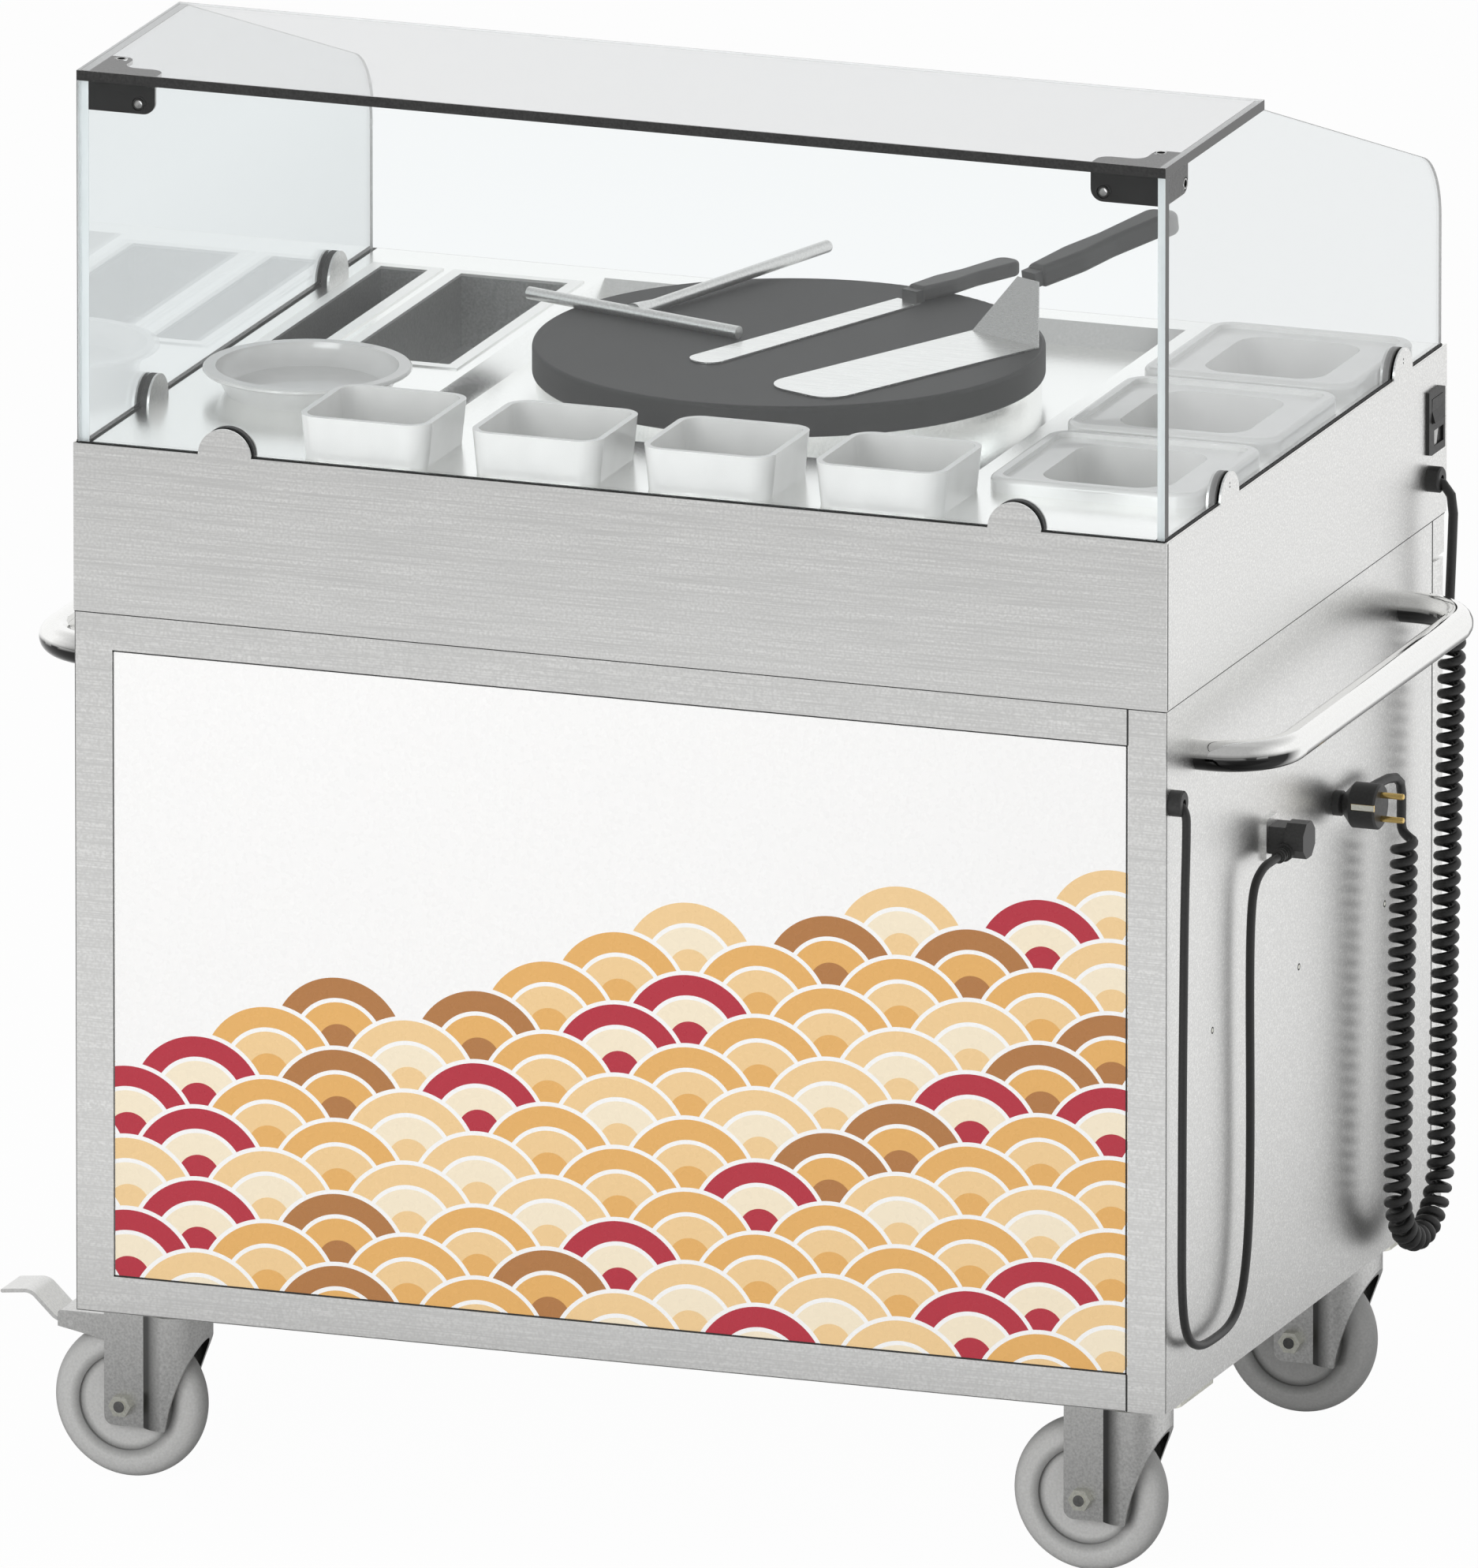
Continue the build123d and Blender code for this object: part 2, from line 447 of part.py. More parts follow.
def corner_bracket():
    """Right bracket: three flanges inside the glass corner, each with a tubular bush."""
    x1 = GLASS_X - GLASS_T
    y0 = GLASS_Y + GLASS_T
    x0, y1 = x1 - BRACKET_X, y0 + BRACKET_Y
    z0, z1 = TOP_GLASS_Z - BRACKET_H, TOP_GLASS_Z
    end_r = BRACKET_WEB / 2
    front = outline([(x0, z0), (x1, z0), (x1, z1), (x0, z1)], [end_r, 0, 0, 0])
    bracket = Plane.XZ.offset(-y0) * extrude(front, amount=-BRACKET_T)
    side = outline([(y0, z0), (y1, z0), (y1, z1), (y0, z1)], [0, end_r, 0, 0])
    bracket += Plane.YZ.offset(x1) * extrude(side, amount=-BRACKET_T)
    web_y, web_x = y0 + BRACKET_WEB, x1 - BRACKET_WEB
    plan = [(x0, y0), (x1, y0), (x1, y1), (web_x, y1), (web_x, web_y), (x0, web_y)]
    plate = outline(plan, [0, 0, 0, end_r, end_r, end_r])
    bracket += Pos(0, 0, z1 - BRACKET_T) * extrude(plate, amount=BRACKET_T)
    front_at, side_at, top_at = bush_places()
    reach = GLASS_T + BRACKET_T
    for radius, sign in ((BUSH_R, 1), (BUSH_BORE_R, -1)):
        bushes = rod_y(radius, front_at[0], y0 + BRACKET_T, y0 - GLASS_T, front_at[2])
        bushes += rod_x(radius, x1 - BRACKET_T, x1 + GLASS_T, side_at[1], side_at[2])
        bushes += rod_z(radius, top_at[0], top_at[1], z1 - BRACKET_T, z1 - BRACKET_T + reach)
        bracket = bracket + bushes if sign > 0 else bracket - bushes
    return bracket


# Griddle


def griddle_base():
    ring = rod_z(BASE_R, 0, PLATE_Y, TRAY_Z, PLATE_Z)
    ring -= rod_z(BASE_R - BASE_WALL, 0, PLATE_Y, TRAY_Z + BASE_WALL, PLATE_Z - BASE_WALL)
    return ring - rod_z(BASE_R - BASE_LIP, 0, PLATE_Y, PLATE_Z - BASE_WALL, PLATE_Z)


def griddle_plate():
    plate = rod_z(PLATE_R, 0, PLATE_Y, PLATE_Z, TOOL_Z)
    return fillet(plate.edges().filter_by(GeomType.CIRCLE), PLATE_EDGE_R)


def heating_element():
    ring = rod_z(HEATER_R, 0, PLATE_Y, PLATE_Z - HEATER_T, PLATE_Z)
    ring -= rod_z(HEATER_IN_R, 0, PLATE_Y, PLATE_Z - HEATER_T, PLATE_Z)
    for x in (-HEATER_T, HEATER_T):
        ring += rod_z(HEATER_T / 3, x, PLATE_Y + HEATER_R - HEATER_T, TRAY_Z + BASE_WALL, PLATE_Z - HEATER_T)
    return ring


# Crockery


def pan(y):
    """Drop-in pan: raised outer ridge, sunken shelf and a tapering cavity."""
    x = PAN_X
    rim = rounded_prism(PAN_W, PAN_D, PAN_RIM_R, x, y, WORKTOP_Z, PAN_RIM_H)
    rim = fillet(rim.faces().sort_by(Axis.Z)[-1].edges(), (PAN_RIDGE - PAN_RIDGE_FLAT) / 2)
    shelf_z = WORKTOP_Z + PAN_RIM_H - PAN_SINK
    shelf_w, shelf_d = PAN_W - 2 * PAN_RIDGE, PAN_D - 2 * PAN_RIDGE
    rim -= rounded_prism(shelf_w, shelf_d, PAN_RIM_R - PAN_RIDGE, x, y, shelf_z, PAN_SINK)
    outer_w, outer_d = PAN_CAVITY_W + 2 * PAN_WALL, PAN_CAVITY_D + 2 * PAN_WALL
    body_depth = PAN_DEPTH - PAN_RIM_H + PAN_SINK + PAN_WALL
    rim += rounded_prism(outer_w, outer_d, PAN_CAVITY_R + PAN_WALL, x, y, WORKTOP_Z, -body_depth, PAN_TAPER)
    return rim - rounded_prism(PAN_CAVITY_W, PAN_CAVITY_D, PAN_CAVITY_R, x, y, shelf_z, -PAN_DEPTH, PAN_TAPER)


def ramekin(index):
    x = RAMEKIN_X0 + (RAMEKIN_X1 - RAMEKIN_X0) * index / (RAMEKIN_COUNT - 1)
    y = -HALF_D + RAMEKIN_SETBACK
    cup = rounded_prism(RAMEKIN_W, RAMEKIN_W, RAMEKIN_R, x, y, WORKTOP_Z, RAMEKIN_H, -RAMEKIN_TAPER)
    inner = RAMEKIN_W - 2 * RAMEKIN_WALL
    floor_z = WORKTOP_Z + RAMEKIN_WALL
    hollow_h = RAMEKIN_H - RAMEKIN_WALL
    return cup - rounded_prism(inner, inner, RAMEKIN_R - RAMEKIN_WALL, x, y, floor_z, hollow_h, -RAMEKIN_TAPER)


def round_dish():
    """Shallow dish with a flat rim and a low foot, turned from a half profile."""
    foot_in = DISH_FOOT_R - DISH_FOOT_W
    bowl_r = DISH_R - DISH_RIM
    floor = DISH_FOOT_H + DISH_FLOOR
    under = DISH_H - DISH_LIP
    edge_r = DISH_R - DISH_EDGE
    neck = (bowl_r + DISH_EDGE, under)
    profile = Polyline((0, DISH_FOOT_H), (foot_in, DISH_FOOT_H), (foot_in, 0), (DISH_FOOT_R, 0), neck)
    profile += Polyline(neck, (edge_r, under), (DISH_R, under + DISH_EDGE), (DISH_R, DISH_H - DISH_EDGE))
    profile += Polyline((DISH_R, DISH_H - DISH_EDGE), (edge_r, DISH_H), (bowl_r, DISH_H))
    wall_mid = (bowl_r - DISH_BULGE, DISH_H / 2)
    profile += ThreePointArc((bowl_r, DISH_H), wall_mid, (foot_in, floor))
    profile += Polyline((foot_in, floor), (0, floor), (0, DISH_FOOT_H))
    half = Plane.XZ * make_face(profile)
    return Pos(DISH_X, DISH_Y, WORKTOP_Z) * revolve(half, Axis.Z)


# Tools


def spreader():
    """T spreader: round crossbar and a round handle with a flared neck."""
    z = TOOL_Z + SPREADER_R
    bar = Rot(0, 0, SPREADER_BAR_ANGLE) * rod_x(SPREADER_R, -SPREADER_BAR / 2, SPREADER_BAR / 2, 0, 0)
    neck = Solid.make_cone(SPREADER_R * 1.5, SPREADER_R, SPREADER_NECK, Plane.YZ)
    handle = rod_x(SPREADER_R, 0, SPREADER_HANDLE, 0, 0)
    handle = fillet(handle.faces().sort_by(Axis.X)[-1].edges(), SPREADER_R * 0.6)
    tool = bar + Rot(0, 0, SPREADER_HANDLE_ANGLE) * Rot(0, -SPREADER_LEAN, 0) * (handle + neck)
    tool -= block(-SPREADER_BAR, SPREADER_BAR, -SPREADER_BAR, SPREADER_BAR, -3 * SPREADER_R, -SPREADER_R)
    return Pos(SPREADER_X, PLATE_Y + SPREADER_Y, z) * tool


def grip(length, width, height):
    """A handle along X from the origin: swelling plan, rounded edges and a short bolster."""
    half = width / 2
    corners = [(0, -half * 0.7), (length * 0.3, -half), (length * 0.55, -half * 0.8), (length, -half)]
    corners += [(x, -y) for x, y in reversed(corners)]
    radii = [GRIP_NOSE_R, GRIP_WAIST_R, GRIP_WAIST_R, half * 0.8]
    plan = outline(corners, radii + radii[::-1])
    body = extrude(plan, amount=height)
    rims = body.faces().filter_by(Axis.Z).edges()
    return fillet(rims, height * 0.28)


def knife_place():
    return Pos(KNIFE_X, PLATE_Y + KNIFE_Y, TOOL_Z) * Rot(0, 0, KNIFE_ANGLE)


def knife_blade():
    """Straight blade with a rounded tip, narrowing a little towards the handle."""
    half = KNIFE_W / 2
    heel = half * 0.8
    corners = [(0, -half), (KNIFE_BLADE, -heel), (KNIFE_BLADE, heel), (0, half)]
    blade = extrude(outline(corners, [half * 0.9, 0, 0, half * 0.9]), amount=BLADE_T)
    return knife_place() * Pos(0, 0, BLADE_LIFT) * blade


def knife_handle():
    half = BOLSTER_W / 2
    bolster = block(KNIFE_BLADE, KNIFE_BLADE + BOLSTER_L, -half, half, 0, 0.8 * KNIFE_HANDLE_H)
    handle = Pos(KNIFE_BLADE + BOLSTER_L - BOLSTER_LAP, 0, 0) * grip(KNIFE_HANDLE, KNIFE_HANDLE_W, KNIFE_HANDLE_H)
    return knife_place() * Pos(0, 0, GRIP_LIFT) * (bolster + handle)


def turner_place():
    return Pos(TURNER_X, PLATE_Y + TURNER_Y, TOOL_Z + TURNER_CLEAR) * Rot(0, 0, TURNER_ANGLE)


def turner_blade():
    """Flat blade with a skewed tip, and a crank that narrows up to the handle."""
    half = TURNER_W / 2
    corners = [(-TURNER_BLADE, half), (-TURNER_BLADE + TURNER_SKEW, -half), (0, -half), (0, half)]
    blade = extrude(outline(corners, [TURNER_LEFT_R, TURNER_RIGHT_R, 0, 0]), amount=BLADE_T)
    crank_len = math.hypot(TURNER_RISE, TURNER_RUN)
    tilt = math.degrees(math.atan2(TURNER_RISE, TURNER_RUN))
    neck = TURNER_NECK_W / 2
    strip = outline([(0, -half), (crank_len, -neck), (crank_len, neck), (0, half)], [0, 0, 0, 0])
    blade += Rot(0, -tilt, 0) * extrude(strip, amount=BLADE_T)
    return turner_place() * blade


def turner_handle():
    half = BOLSTER_W / 2
    slope = math.degrees(math.asin(TURNER_LIFT / TURNER_HANDLE))
    start = BOLSTER_L - BOLSTER_LAP
    handle = Pos(start, 0, -TURNER_HANDLE_H / 2) * grip(TURNER_HANDLE, TURNER_HANDLE_W, TURNER_HANDLE_H)
    handle += block(0, BOLSTER_L + BOLSTER_LAP, -half, half, -TURNER_HANDLE_H / 3, TURNER_HANDLE_H / 3)
    handle = Pos(TURNER_RUN, 0, TURNER_RISE) * Rot(0, -slope, 0) * handle
    return turner_place() * handle


# Push handles


def push_handle():
    x = SIDE_X + HANDLE_REACH
    points = [(SIDE_X, HANDLE_Y0), (x, HANDLE_Y0), (x, HANDLE_Y1), (SIDE_X, HANDLE_Y1)]
    path = Pos(0, 0, HANDLE_Z) * FilletPolyline(*points, radius=HANDLE_BEND_R)
    section = Plane((SIDE_X, HANDLE_Y0, HANDLE_Z), z_dir=(1, 0, 0)) * Circle(HANDLE_R)
    return sweep(section, path=path)


# Casters, each drawn about its own swivel axis with the wheel trailing to the left


def caster_plate():
    z1 = CABINET_Z
    z0 = z1 - CASTER_PLATE_T
    plate = rounded_prism(CASTER_PLATE_X, CASTER_PLATE_Y, CASTER_PLATE_R, 0, 0, z0, CASTER_PLATE_T)
    plate += rod_z(RACE_R, 0, 0, FORK_Z1 + RACE_GAP, z0)
    plate += rod_z(KING_R, 0, 0, FORK_Z1 - FORK_T - RACE_GAP, FORK_Z1 + RACE_GAP)
    plate += rod_z(KING_HEAD_R, 0, 0, FORK_Z1 - FORK_T - KING_HEAD_T, FORK_Z1 - FORK_T - RACE_GAP)
    return plate


def fork(braked):
    """Pressed fork: a round neck on the swivel axis that runs down into two flat legs."""
    leg = FORK_IN + FORK_T
    shell = rod_z(NECK_R, 0, 0, FORK_Z0, FORK_Z1) + block(-FORK_BACK, 0, -leg, leg, FORK_Z0, FORK_Z1)
    core = rod_z(NECK_R - FORK_T, 0, 0, FORK_Z0, FORK_Z1 - FORK_T)
    core += block(-FORK_BACK, 0, -FORK_IN, FORK_IN, FORK_Z0, FORK_Z1 - FORK_T)
    lip_z = FORK_Z1 - FORK_LIP
    inset = FORK_BEND_R * (1 - math.sqrt(0.5))
    toe = (-FORK_BACK + FORK_BEND_R, FORK_Z0)
    heel = (-FORK_BACK, FORK_Z0 + FORK_BEND_R)
    side = Line((0, FORK_Z0), toe)
    side += ThreePointArc(toe, (-FORK_BACK + inset, FORK_Z0 + inset), heel)
    side += Polyline(heel, (-FORK_BACK, FORK_Z1), (NECK_R, FORK_Z1), (NECK_R, lip_z))
    side += ThreePointArc((NECK_R, lip_z), (NECK_R * 0.36, FORK_Z0 + 0.5 * (lip_z - FORK_Z0)), (0, FORK_Z0))
    profile = Plane.XZ * extrude(make_face(side), amount=NECK_R, both=True)
    shell = (shell - core) & profile
    shell -= rod_z(KING_R + PIN_CLEAR, 0, 0, FORK_Z1 - FORK_T, FORK_Z1)
    shell -= rod_y(AXLE_R + AXLE_CLEAR, -TRAIL, -leg, leg, WHEEL_R)
    if braked:
        shell += brake_bracket()
    return shell


def brake_bracket():
    """Bridge over the wheel that carries the pedal pin."""
    leg = FORK_IN + FORK_T
    low_z = BRAKE_Z1 - BRAKE_LIP
    ear_z = low_z - BRAKE_EAR
    top_x = -FORK_BACK + BRAKE_FOOT
    points = [(BRAKE_X, low_z), (-FORK_BACK - BRAKE_EAR_W, ear_z), (-FORK_BACK + BRAKE_EAR_W, ear_z)]
    points += [(top_x, BRAKE_Z1), (BRAKE_X, BRAKE_Z1)]
    side = Plane.XZ * extrude(outline(points, [0, 0, 0, 0, BRAKE_BEND_R]), amount=leg, both=True)
    side -= block(BRAKE_X, top_x, -FORK_IN, FORK_IN, ear_z, BRAKE_Z1 - FORK_T)
    return side - rod_y(PEDAL_PIN_R + PIN_CLEAR, PEDAL_PIN_X, -leg, leg, PEDAL_PIN_Z)


def pedal():
    """S-curved foot strip on a hub with its pin, and a cam lobe that swings towards the tyre."""
    leg = FORK_IN + FORK_T
    inner = FORK_IN - PEDAL_CLEAR
    root = (PEDAL_PIN_X, PEDAL_PIN_Z)
    bend = (BRAKE_X - PEDAL_STEP, PEDAL_PIN_Z + PEDAL_STEP)
    crest = (BRAKE_X - PEDAL_CREST, PEDAL_TIP_Z + PEDAL_CREST_RISE)
    line = FilletPolyline(root, bend, crest, (PEDAL_TIP_X, PEDAL_TIP_Z), radius=[PEDAL_BEND_R, PEDAL_BEND_R])
    strip = offset(line, amount=PEDAL_T / 2, side=Side.BOTH)
    strip = Plane.XZ * extrude(make_face(strip.edges()), amount=PEDAL_W / 2, both=True)
    for side in (-1, 1):
        y0, y1 = sorted((side * inner, side * PEDAL_W))
        strip -= block(BRAKE_X - PEDAL_CLEAR, 0, y0, y1, 0, FORK_Z1)
    hub = rod_y(PEDAL_HUB_R, PEDAL_PIN_X, -inner, inner, PEDAL_PIN_Z)
    pin = rod_y(PEDAL_PIN_R, PEDAL_PIN_X, -leg, leg, PEDAL_PIN_Z)
    swing = math.radians(CAM_ANGLE)
    cam_x = PEDAL_PIN_X + CAM_REACH * math.cos(swing)
    cam_z = PEDAL_PIN_Z - CAM_REACH * math.sin(swing)
    cam = rod_y(PEDAL_HUB_R, cam_x, -inner / 2, inner / 2, cam_z)
    return strip + hub + pin + cam


def axle():
    """Through bolt with a hex head and nut outside the fork legs."""
    leg = FORK_IN + FORK_T
    shaft = rod_y(AXLE_R, -TRAIL, -leg - NUT_T - AXLE_END, leg + NUT_T + AXLE_END, WHEEL_R)
    flat = RegularPolygon(NUT_AF / 2, 6, major_radius=False, rotation=30)
    for side in (-1, 1):
        face = Plane((-TRAIL, side * leg, WHEEL_R), z_dir=(0, side, 0)) * flat
        shaft += extrude(face, amount=NUT_T)
    return shaft


def wheel_core():
    half = FORK_IN - HUB_CLEAR
    rim = WHEEL_W / 2 - WEB_INSET
    web = rim - WEB_DISH
    profile = Polyline(
        (WHEEL_BORE_R, -half), (HUB_R, -half), (HUB_R, -web), (TYRE_ROOT_R, -rim), (TYRE_ROOT_R, rim),
        (HUB_R, web), (HUB_R, half), (WHEEL_BORE_R, half), close=True)
    return wheel_turned(make_face(profile))


def tyre():
    """Full round tread, cut off where it is bonded to the core."""
    half = WHEEL_W / 2
    centre = WHEEL_R - half
    ring = Pos(centre, 0) * Circle(half)
    ring &= Pos(TYRE_ROOT_R + WHEEL_R, 0) * Rectangle(2 * WHEEL_R, 2 * WHEEL_W)
    return wheel_turned(ring)


def wheel_turned(face):
    """Turns a face drawn as (radius, width) round the axle."""
    solid = revolve(face, Axis.Y)
    return Pos(-TRAIL, 0, WHEEL_R) * solid


# Power fittings


def switch_body(x0, x1):
    y0, y1 = SWITCH_Y0 + SWITCH_BODY_IN, SWITCH_Y1 - SWITCH_BODY_IN
    z0, z1 = DECK_Z + SWITCH_Z0 + SWITCH_BODY_IN, DECK_Z + SWITCH_Z1 - SWITCH_BODY_IN
    return block(x0, x1, y0, y1, z0, z1)


def switch_housing():
    """Face plate with cut corners, a body through the skin, a rocker well and a lamp recess."""
    z0, z1 = DECK_Z + SWITCH_Z0, DECK_Z + SWITCH_Z1
    corners = [(SWITCH_Y0 + SWITCH_CUT_Y / 2, z0), (SWITCH_Y1, z0), (SWITCH_Y1, z1 - SWITCH_CUT_Z)]
    corners += [(SWITCH_Y1 - SWITCH_CUT_Y, z1), (SWITCH_Y0, z1), (SWITCH_Y0, z0 + SWITCH_CUT_Z / 2)]
    plate = Plane.YZ.offset(HALF_W) * extrude(outline(corners, [0] * 6), amount=SWITCH_PROUD)
    face_x = HALF_W + SWITCH_PROUD
    plate += switch_body(HALF_W - SWITCH_BODY_DEPTH, HALF_W)
    y = (SWITCH_Y0 + SWITCH_Y1) / 2
    half_w = ROCKER_W / 2 + ROCKER_CLEAR
    half_h = ROCKER_H / 2 + ROCKER_CLEAR
    rocker_z = DECK_Z + ROCKER_Z
    plate -= block(face_x - 3 * ROCKER_T, face_x, y - half_w, y + half_w, rocker_z - half_h, rocker_z + half_h)
    lamp_z = DECK_Z + LAMP_Z
    y1 = SWITCH_Y1 - LAMP_EDGE
    plate -= block(face_x - LAMP_DEPTH, face_x, y1 - LAMP_W, y1, lamp_z - LAMP_H / 2, lamp_z + LAMP_H / 2)
    return plate


def rocker():
    """Rocker at rest with its top pressed in; it turns about a pin along Y."""
    y = (SWITCH_Y0 + SWITCH_Y1) / 2
    half = ROCKER_H / 2
    back, face = -ROCKER_T / 2, ROCKER_T / 2
    edge = face + ROCKER_EDGE
    sides = [(back, -half), (edge, -half), (face - ROCKER_DIP, 0), (edge, half), (back, half)]
    cap = Plane.XZ * extrude(outline(sides, [0] * 5), amount=ROCKER_W / 2, both=True)
    pin_end = ROCKER_W / 2 + ROCKER_PIN_OUT
    pin = rod_y(ROCKER_PIN_R, 0, -pin_end, pin_end, 0)
    x = HALF_W + SWITCH_PROUD - ROCKER_SINK
    return Pos(x, y, DECK_Z + ROCKER_Z) * Rot(0, -ROCKER_TILT, 0) * (cap + pin)


def gland(panel_x, y, z, length, cord_r, slotted):
    """Round cable gland on a panel; a slotted one lets the lead turn down inside its mouth."""
    mouth = panel_x + length
    bore = cord_r + CORD_CLEAR
    body = rod_x(GLAND_R, panel_x, mouth, y, z)
    body = chamfer(body.faces().sort_by(Axis.X)[-1].edges(), GLAND_BEVEL)
    body += rod_x(GLAND_SHANK_R, panel_x - SHEET - GLAND_LIP, panel_x, y, z)
    if slotted:
        body -= block(panel_x + SLOT_START, mouth, y - bore, y + bore, z - GLAND_R, z)
    return body - rod_x(bore, panel_x - SHEET - GLAND_LIP, mouth, y, z)


def mains_plug():
    """Turned plug body with a flange against the panel, a side cable exit, and an earth clip groove."""
    x = SIDE_X
    pin_x = x + PLUG_FACE
    neck = PLUG_FLANGE_T + PLUG_BEVEL
    shoulder = neck + PLUG_R / 2
    profile = Polyline(
        (0, 0), (0, PLUG_FLANGE_R), (PLUG_FLANGE_T, PLUG_FLANGE_R), (neck, PLUG_FLANGE_R - PLUG_NECK),
        (shoulder, PLUG_R), (PLUG_FACE - PLUG_BEVEL, PLUG_R), (PLUG_FACE, PLUG_R - PLUG_BEVEL), (PLUG_FACE, 0),
        close=True)
    body = Pos(x, PLUG_Y, PLUG_Z) * revolve(make_face(profile), Axis.X)
    body += rod_y(PLUG_EXIT_R, x + PLUG_EXIT_X, PLUG_Y, PLUG_EXIT_Y, PLUG_EXIT_Z)
    body -= earth_clip(PLUG_R)
    for side in (-1, 1):
        body -= rod_x(PLUG_PIN_R, pin_x - PLUG_PIN_IN, pin_x, PLUG_Y, PLUG_Z + side * PLUG_PIN_PITCH / 2)
    return body


def earth_clip(reach):
    """Flat strip let into the plug's front side; reach sets how far out it is cut."""
    face = SIDE_X + PLUG_FACE
    y = PLUG_Y - PLUG_R + EARTH_T
    z = PLUG_Z + EARTH_Z
    return block(face - EARTH_L, face, PLUG_Y - reach, y, z - EARTH_H / 2, z + EARTH_H / 2)


def plug_pins():
    """Two contact pins and the flat earth clip."""
    face = SIDE_X + PLUG_FACE
    pins = []
    for side in (-1, 1):
        pin = rod_x(PLUG_PIN_R, face - PLUG_PIN_IN, face + PLUG_PIN_L, PLUG_Y, PLUG_Z + side * PLUG_PIN_PITCH / 2)
        pins.append(fillet(pin.faces().sort_by(Axis.X)[-1].edges(), PLUG_PIN_R * 0.6))
    pins.append(earth_clip(PLUG_R - EARTH_SUNK))
    return pins


def appliance_connector():
    """Angled connector: eight-sided head on a narrower neck, and a ribbed cable relief to the front."""
    x0, x1 = SIDE_X + CONNECTOR_NECK_OUT, SIDE_X + CONNECTOR_OUT
    head = Pos(CONNECTOR_Y, CONNECTOR_Z) * Rectangle(CONNECTOR_W, CONNECTOR_H)
    head = chamfer(head.vertices(), CONNECTOR_CUT)
    body = Plane.YZ.offset(x0) * extrude(head, amount=x1 - x0)
    half = CONNECTOR_NECK / 2
    y0, y1 = CONNECTOR_Y - half, CONNECTOR_Y + half
    body += block(SIDE_X + INLET_T, x0, y0, y1, CONNECTOR_Z - half, CONNECTOR_Z + half)
    relief_x = SIDE_X + RELIEF_OUT
    collar_y = RELIEF_Y + RIBBED_L
    body += rod_y(RELIEF_R + RELIEF_COLLAR, relief_x, collar_y, CONNECTOR_Y, RELIEF_Z)
    body += rod_y(RELIEF_R - RELIEF_CORE, relief_x, RELIEF_Y, collar_y, RELIEF_Z)
    for step in range(RIB_COUNT):
        y = RELIEF_Y + RIB_START + RIB_PITCH * step
        body += rod_y(RELIEF_R, relief_x, y, y + RIB_W, RELIEF_Z)
    return body


def appliance_inlet():
    width, height = CONNECTOR_W + INLET_RIM_Y, CONNECTOR_H + INLET_RIM_Z
    head = Pos(CONNECTOR_Y, CONNECTOR_Z) * RectangleRounded(width, height, INLET_R)
    return Plane.YZ.offset(SIDE_X) * extrude(head, amount=INLET_T)


# Leads


def fitted_radii(points):
    """Each corner's arc is as large as its two runs allow."""
    radii = []
    for before, at, after in zip(points, points[1:], points[2:]):
        run_in, run_out = at - before, after - at
        turn = math.radians(run_in.get_angle(run_out))
        radii.append(0.45 * min(run_in.length, run_out.length) / math.tan(turn / 2))
    return radii


def cord(name, points, radius, radii=None):
    """A round tube along straight runs joined by tangent arcs."""
    points = [Vector(*point) for point in points]
    radii = radii or fitted_radii(points)
    path = FilletPolyline(*points, radius=radii)
    section = Plane(points[0], z_dir=points[1] - points[0]) * Circle(radius)
    tube = sweep(section, path=path)
    expected = math.pi * radius**2 * path.length
    print(name, "radii", [round(r, 1) for r in radii], "volume share", round(tube.volume / expected, 4))
    return tube


def turn_rim(angle):
    y = COIL_TURN_Y + COIL_TURN_R * math.cos(angle)
    return Vector(COIL_X, y, COIL_TURN_Z + COIL_TURN_R * math.sin(angle))


def touch_angle(y, z, side):
    """Angle on the bottom turn where a strand's straight axis touches it."""
    dy, dz = y - COIL_TURN_Y, z - COIL_TURN_Z
    return math.atan2(dz, dy) + side * math.acos(COIL_TURN_R / math.hypot(dy, dz))


COIL_TOP = Vector(COIL_X, COIL_TOP_Y, COIL_TOP_Z)
COIL_END = Vector(COIL_X, COIL_END_Y, COIL_END_Z)
TURN_A = touch_angle(COIL_TOP_Y, COIL_TOP_Z, -1)
TURN_B = touch_angle(COIL_END_Y, COIL_END_Z, 1) - 2 * math.pi
DOWN_L = (turn_rim(TURN_A) - COIL_TOP).length
TURN_L = COIL_TURN_R * (TURN_A - TURN_B)
UP_L = (COIL_END - turn_rim(TURN_B)).length
COIL_L = DOWN_L + TURN_L + UP_L
COIL_OUTWARD = Vector(1, 0, 0)


def coil_axis(along):
    """Point and direction of the coil's axis: down, round the bottom turn and up."""
    if along <= DOWN_L:
        heading = (turn_rim(TURN_A) - COIL_TOP).normalized()
        return COIL_TOP + heading * along, heading
    if along <= DOWN_L + TURN_L:
        angle = TURN_A - (along - DOWN_L) / COIL_TURN_R
        return turn_rim(angle), Vector(0, math.sin(angle), -math.cos(angle))
    heading = (COIL_END - turn_rim(TURN_B)).normalized()
    return turn_rim(TURN_B) + heading * (along - DOWN_L - TURN_L), heading


COIL_LEAN = math.pi / 2 - math.atan(COIL_PITCH / (2 * math.pi * COIL_R))
COIL_SWING = math.atan2(COIL_STEP_R * (1 - math.cos(COIL_LEAN)), COIL_R)


def tail_angle(along):
    """Angle about the axis that puts a straight tail behind the coil."""
    heading = coil_axis(along)[1]
    across = heading.cross(COIL_OUTWARD)
    tail = Vector(*TAIL_SIDE, 0)
    return math.atan2(tail.dot(across), tail.dot(COIL_OUTWARD))


